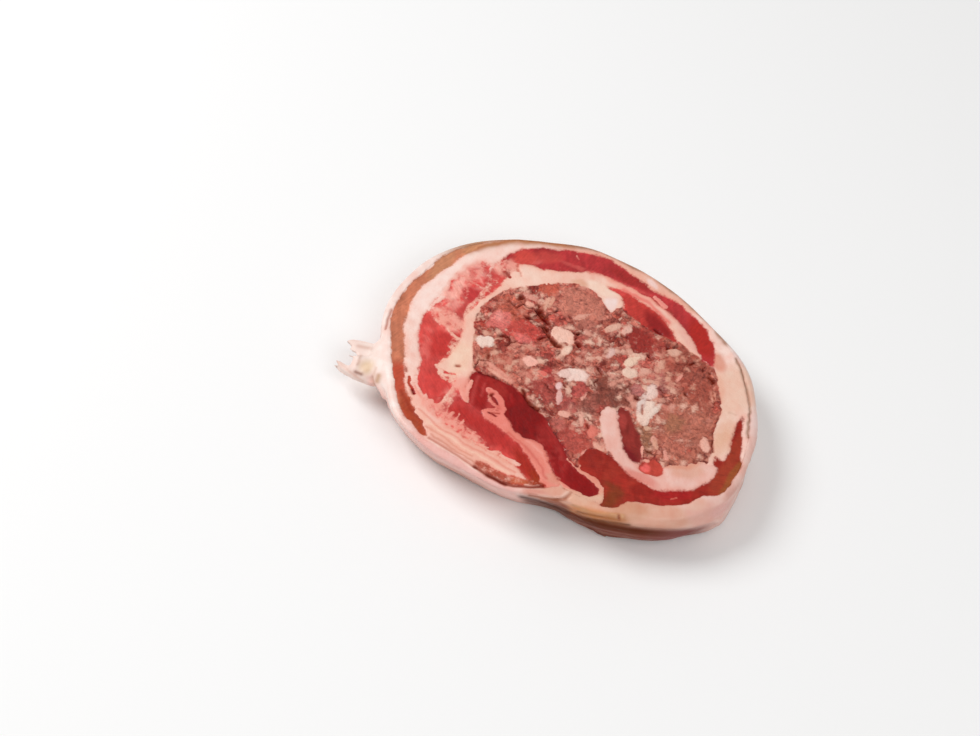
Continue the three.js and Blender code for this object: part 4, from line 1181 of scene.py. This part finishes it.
# Membrane over fat: smooth, pale and pink with a satin sheen, and browned where it has dried; its colours
# also carry painted shade low on the near wall.
dressed(cover, "cover", knife_cut("moist membrane over fat", fat_gloss=0.40, film=0.3, relief=0.5))

# ---- The two cut faces ----
# All the layers lie in one plane after the cut. Fat stands up a little, lean sinks in a little, and the
# mince is rough. Each piece gets its relief and colours here, and then the slant of the cut.


def cut_face(x, y, seed):
    """Depth in fat in mm, marbling, moistness, lean colour, fat colour and height in mm, at places in mm."""
    # outlines that waver by up to a millimetre, and fray where the muscle on the left runs out in the fat
    u = x + 0.6 * ripple(x, y, 5.5, seed + 41) + 0.36 * ripple(x, y, 1.9, seed + 42)
    v = y + 0.6 * ripple(x, y, 5.5, seed + 43) + 0.36 * ripple(x, y, 1.9, seed + 44)
    feathered = rise(patch(x, y, (-22, -45), (30, 7), -9), 0, 0.5)
    v = v + 2.0 * feathered * ripple(u + 0.3 * v, 0.22 * v, 1.5, seed + 48)
    feathered = rise(patch(x, y, (-56, 6), (9, 30)), 0, 0.4)
    u = u + 1.1 * feathered * ripple(0.4 * u, v + 0.2 * u, 2.0, seed + 49)
    far = {name: away(name, u, v) for name in layer_solids}
    inside = np.min([far[name] for name in layer_solids], axis=0)
    far["cover"] = 1.6 - 4 * inside + 6 * (1 - rise(far["stuffing"], 0.5, 1.5))
    fats = [*fat_colours, "cover"]
    to_lean = np.min([far[name] for name in lean_colours], axis=0)
    to_fat = np.min([far[name] for name in fats], axis=0)
    depth = np.clip((to_lean - to_fat) / 2, -1.6, 1.6)
    # the colour of the nearest layer, blended with its neighbour's over half a millimetre
    colours = []
    for names, nearest in ((lean_colours, to_lean), (fats, to_fat)):
        total, weights = np.zeros(x.shape + (3,)), np.zeros(x.shape)
        for name in names:
            weight = np.exp(-np.clip(far[name] - nearest, 0, 20) / 0.45)
            own = skin_rim(x, y) if name == "cover" else linear({**lean_colours, **fat_colours}[name])
            total += weight[..., None] * own
            weights += weight
        colours.append(total / weights[..., None])
    lean, fat = colours
    # clouds of lighter and darker meat, and streaks along the roll
    along, across = 0.5 * u - 0.87 * v, 0.87 * u + 0.5 * v
    tone = 0.15 * ripple(u, v, 13, seed + 45) + 0.15 * ripple(u, v, 4.4, seed + 46)
    streaks = 0.13 * ripple(along * 0.16, across, 1.1, seed + 47)
    streaks += 0.07 * ripple(along * 0.3, across * 2, 1.1, seed + 50)
    lean = lean * (1 + tone + streaks)[..., None]
    fat = fat * (1 + (0.4 * tone + 0.25 * streaks)[..., None] * np.array([0.35, 1.0, 1.15]))
    pinker = rise(ripple(u, v, 7.5, seed + 54) + 0.4 * ripple(u, v, 2.6, seed + 55), -0.1, 0.9) * 0.5
    fat = blended(fat, fat * BLUSH, pinker)
    for at, half, turn, code, strength, size in veils:
        share = rise(patch(x, y, at, half, turn), 0, 0.5) * strength
        drawn = 0.65 * ripple(u, v, size, seed + 56 + at[0]) + 0.35 * ripple(u, v, 0.45 * size, seed + 57)
        lean = blended(lean, linear(code), share * rise(drawn, -0.5, 0.3))
    lean, fat = tinted(lean, lean_tints, u, v), tinted(fat, fat_tints, u, v)
    marbling = np.full(x.shape, 1.7)
    for at, half, turn, strength, level in marblings:
        share = rise(patch(x, y, at, half, turn), 0, 0.4)
        marbling += (strength - marbling) * share
        depth += (level - depth) * share * rise(far["stuffing"], 0, 1)
    for points, width, level in lines:
        depth += (level - depth) * rise(stroke(u, v, points, width), 0.15, 0.85)
    height = 0.34 * rise(depth, -0.7, 0.9) - 0.24
    height += 0.06 * ripple(x, y, 2.3, seed + 51) + 0.14 * ripple(x, y, 6.5, seed + 52)
    height += 0.22 * ripple(x, y, 15, seed + 53) + 0.5 * streaks * rise(-depth, 0, 0.8)
    # the mince fills its pocket up to a ragged edge, and its relief starts a little further in
    mince_depth, loose, mince_lean, mince_fat, mince_height, gap = minced(x, y, seed)
    shred = 0.45 * ripple(x, y, 1.2, seed + 61)
    is_mince = rise(-away("stuffing", u + shred, v - shred), -0.3, 0.3)
    depth += (mince_depth - depth) * is_mince
    lean, fat = blended(lean, mince_lean, is_mince), blended(fat, mince_fat, is_mince)
    marbling += (loose - marbling) * is_mince
    height += (mince_height - height) * rise(-away("stuffing", x, y), 0.1, 1.7)
    moist = 1 - 0.9 * gap * is_mince
    # a hollow keeps its line in a muscle, and is ragged and broken in the mince; painted shade darkens it
    torn_x = x + (0.35 + 0.65 * is_mince) * (u - x) + 0.7 * is_mince * ripple(x, y, 1.9, seed + 58)
    torn_y = y + (0.35 + 0.65 * is_mince) * (v - y) + 0.7 * is_mince * ripple(x, y, 1.9, seed + 59)
    kept = 1 - is_mince * 0.75 * rise(ripple(x, y, 1.7, seed + 60), -0.1, 0.6)
    for points, width, deep, dark in creases:
        share = stroke(torn_x, torn_y, points, width) * kept
        height -= deep * share
        moist = moist * (1 - 0.9 * share * dark)
        # painted shade: lean and fat in the hollow go a deep red-brown
        lean = lean * np.array([0.30, 0.16, 0.12]) ** (share * dark)[..., None]
        fat = fat * np.array([0.22, 0.05, 0.035]) ** (share * dark)[..., None]
    # the film of juice greys the dark lean a little, so its colour starts deeper
    lean = np.maximum(lean * 1.1 - 0.011, 0.002)
    return depth, marbling, moist, lean, fat, height


# the underside is the cut face of the next slice, so it has the same layers with other bits and flecks
TOP_SEED, UNDER_SEED = 0, 200
RIM_DROP = 0.06
pieces = [
    outer_fat, outer_lean, side_lean, seam_fat, top_lean, lower_seam, inner_lean, lower_lean, right_lean,
    hook_fat, hook_strip, hook_nub, stuffing, cover,
]
for piece in pieces:
    mesh = piece.data
    co = places(mesh)
    x, y, z = (co * MM).T
    shape = len(co), (len(co), 3)
    looks = [np.zeros(shape[i]) for i in (0, 0, 0, 1, 1, 0)]
    for face, seed in ((z > 10, TOP_SEED), (z <= 10, UNDER_SEED)):
        for kept, values in zip(looks, cut_face(x[face], y[face], seed)):
            kept[face] = values
    depth, marbling, moist, lean, fat, height = looks
    over = rise(z, 18.6, 19.9)
    under = rise(-z, -1.4, -0.1)
    rim = np.zeros(len(co))
    if piece == cover:
        wall = 1 - rise(z, 18.2, 19.6)
        skin, skin_moist = outer_skin(x, y, z)
        fat = blended(fat, skin, wall)
        moist += (skin_moist - moist) * wall
        depth = np.maximum(depth, 6 * wall)
        # the remesh rounds the cover's inner rim, which is cut flat again
        beside = 1 - rise(np.min([away(name, x, y) for name in layer_solids], axis=0), 0.3, 1.3)
        z = np.where(z > 18.5, z + (20 - z) * beside, np.where(z < 1.5, z * (1 - beside), z))
    else:
        # the layers reach a little under each other, so each one's rim is drawn in
        rim[[i for face in mesh.polygons if abs(face.normal.z) < WALL for i in face.vertices]] = RIM_DROP
    co[:, 2] = (z + over * (height - rim) + under * (np.maximum(0, -0.6 * height) + rim)) / MM
    co[:, 2] = np.maximum(co[:, 2], 0)
    co[:, 1] += slant(co[:, 0], co[:, 1], np.clip(co[:, 2], 0, THICKNESS))
    co[:, :2] += PLAN_ORIGIN
    mesh.vertices.foreach_set("co", co.ravel())
    for name, values in (("fatness", depth), ("marbling", marbling), ("moist", moist)):
        mesh.attributes.new(name, "FLOAT", "POINT").data.foreach_set("value", values)
    for name, values in (("lean_colour", lean), ("fat_colour", fat)):
        rgba = np.concatenate([values, np.ones((len(co), 1))], axis=1)
        mesh.attributes.new(name, "FLOAT_COLOR", "POINT").data.foreach_set("color", rgba.ravel())
    mesh.shade_smooth()
    mesh.set_sharp_from_angle(angle=math.radians(50))
    mesh.update()

# ---- Camera, floor and light ----
# The slice lies on a pale matt floor. The camera looks down at it from 52 degrees, as in the photo, and
# the middle of the cut face shows where the photo has it. The light is soft, from the left and above.
PICTURE = (980, 736)
FOCAL = 1897.5
SLICE_AT = (568.6, 369.6)
DISTANCE = 0.75
azimuth, elevation, tilt = math.radians(18), math.radians(52), math.radians(-12)
back = Vector((
    math.sin(azimuth) * math.cos(elevation), -math.cos(azimuth) * math.cos(elevation), math.sin(elevation)
))
across = Vector((0, 0, 1)).cross(back).normalized()
upward = back.cross(across)
axes = Matrix((
    across * math.cos(tilt) - upward * math.sin(tilt),
    across * math.sin(tilt) + upward * math.cos(tilt),
    back,
))
aim = Vector((SLICE_AT[0] - PICTURE[0] / 2, PICTURE[1] / 2 - SLICE_AT[1], -FOCAL)).normalized()
turned = Vector((0, 0, -1)).rotation_difference(aim).to_matrix() @ axes
camera = bpy.data.objects.new("camera", bpy.data.cameras.new("camera"))
camera.data.sensor_width = 36
camera.data.lens = camera.data.sensor_width * FOCAL / PICTURE[0]
camera.data.clip_start = 0.01
middle = Vector((*PLAN_ORIGIN, THICKNESS))
camera.matrix_world = Matrix.Translation(middle + back * DISTANCE) @ turned.transposed().to_4x4()
bpy.context.scene.collection.objects.link(camera)
bpy.context.scene.camera = camera

# Matt white paper: even, pale and without a gloss. It lies a hair below the slice.
body = bmesh.new()
bmesh.ops.create_grid(body, x_segments=1, y_segments=1, size=3, matrix=Matrix.Translation((0, 0, -2e-5)))
floor = shown("floor", body)
paper = bpy.data.materials.new("matt white paper")
paper.use_nodes = True
paper.node_tree.nodes.clear()
surface = node(paper.node_tree, "BsdfPrincipled", {"Base Color": (0.93, 0.93, 0.93, 1), "Roughness": 0.8})
node(paper.node_tree, "OutputMaterial", {"Surface": surface})
floor.data.materials.append(paper)

world = bpy.data.worlds.new("soft room")
bpy.context.scene.world = world
world.use_nodes = True
world.node_tree.nodes["Background"].inputs["Color"].default_value = (1.0, 0.99, 0.98, 1)
world.node_tree.nodes["Background"].inputs["Strength"].default_value = 0.40
for name, at, size, power in (("key", (-1.0, -0.05, 1.05), 0.8, 12.0), ("fill", (0.9, -0.6, 1.3), 1.2, 9)):
    lamp = bpy.data.lights.new(name, "AREA")
    lamp.shape = "DISK"
    lamp.size = size
    lamp.energy = power
    light = bpy.data.objects.new(name, lamp)
    light.location = at
    light.rotation_euler = (-Vector(at)).to_track_quat("-Z", "Y").to_euler()
    bpy.context.scene.collection.objects.link(light)
bpy.context.scene.view_settings.view_transform = "Standard"
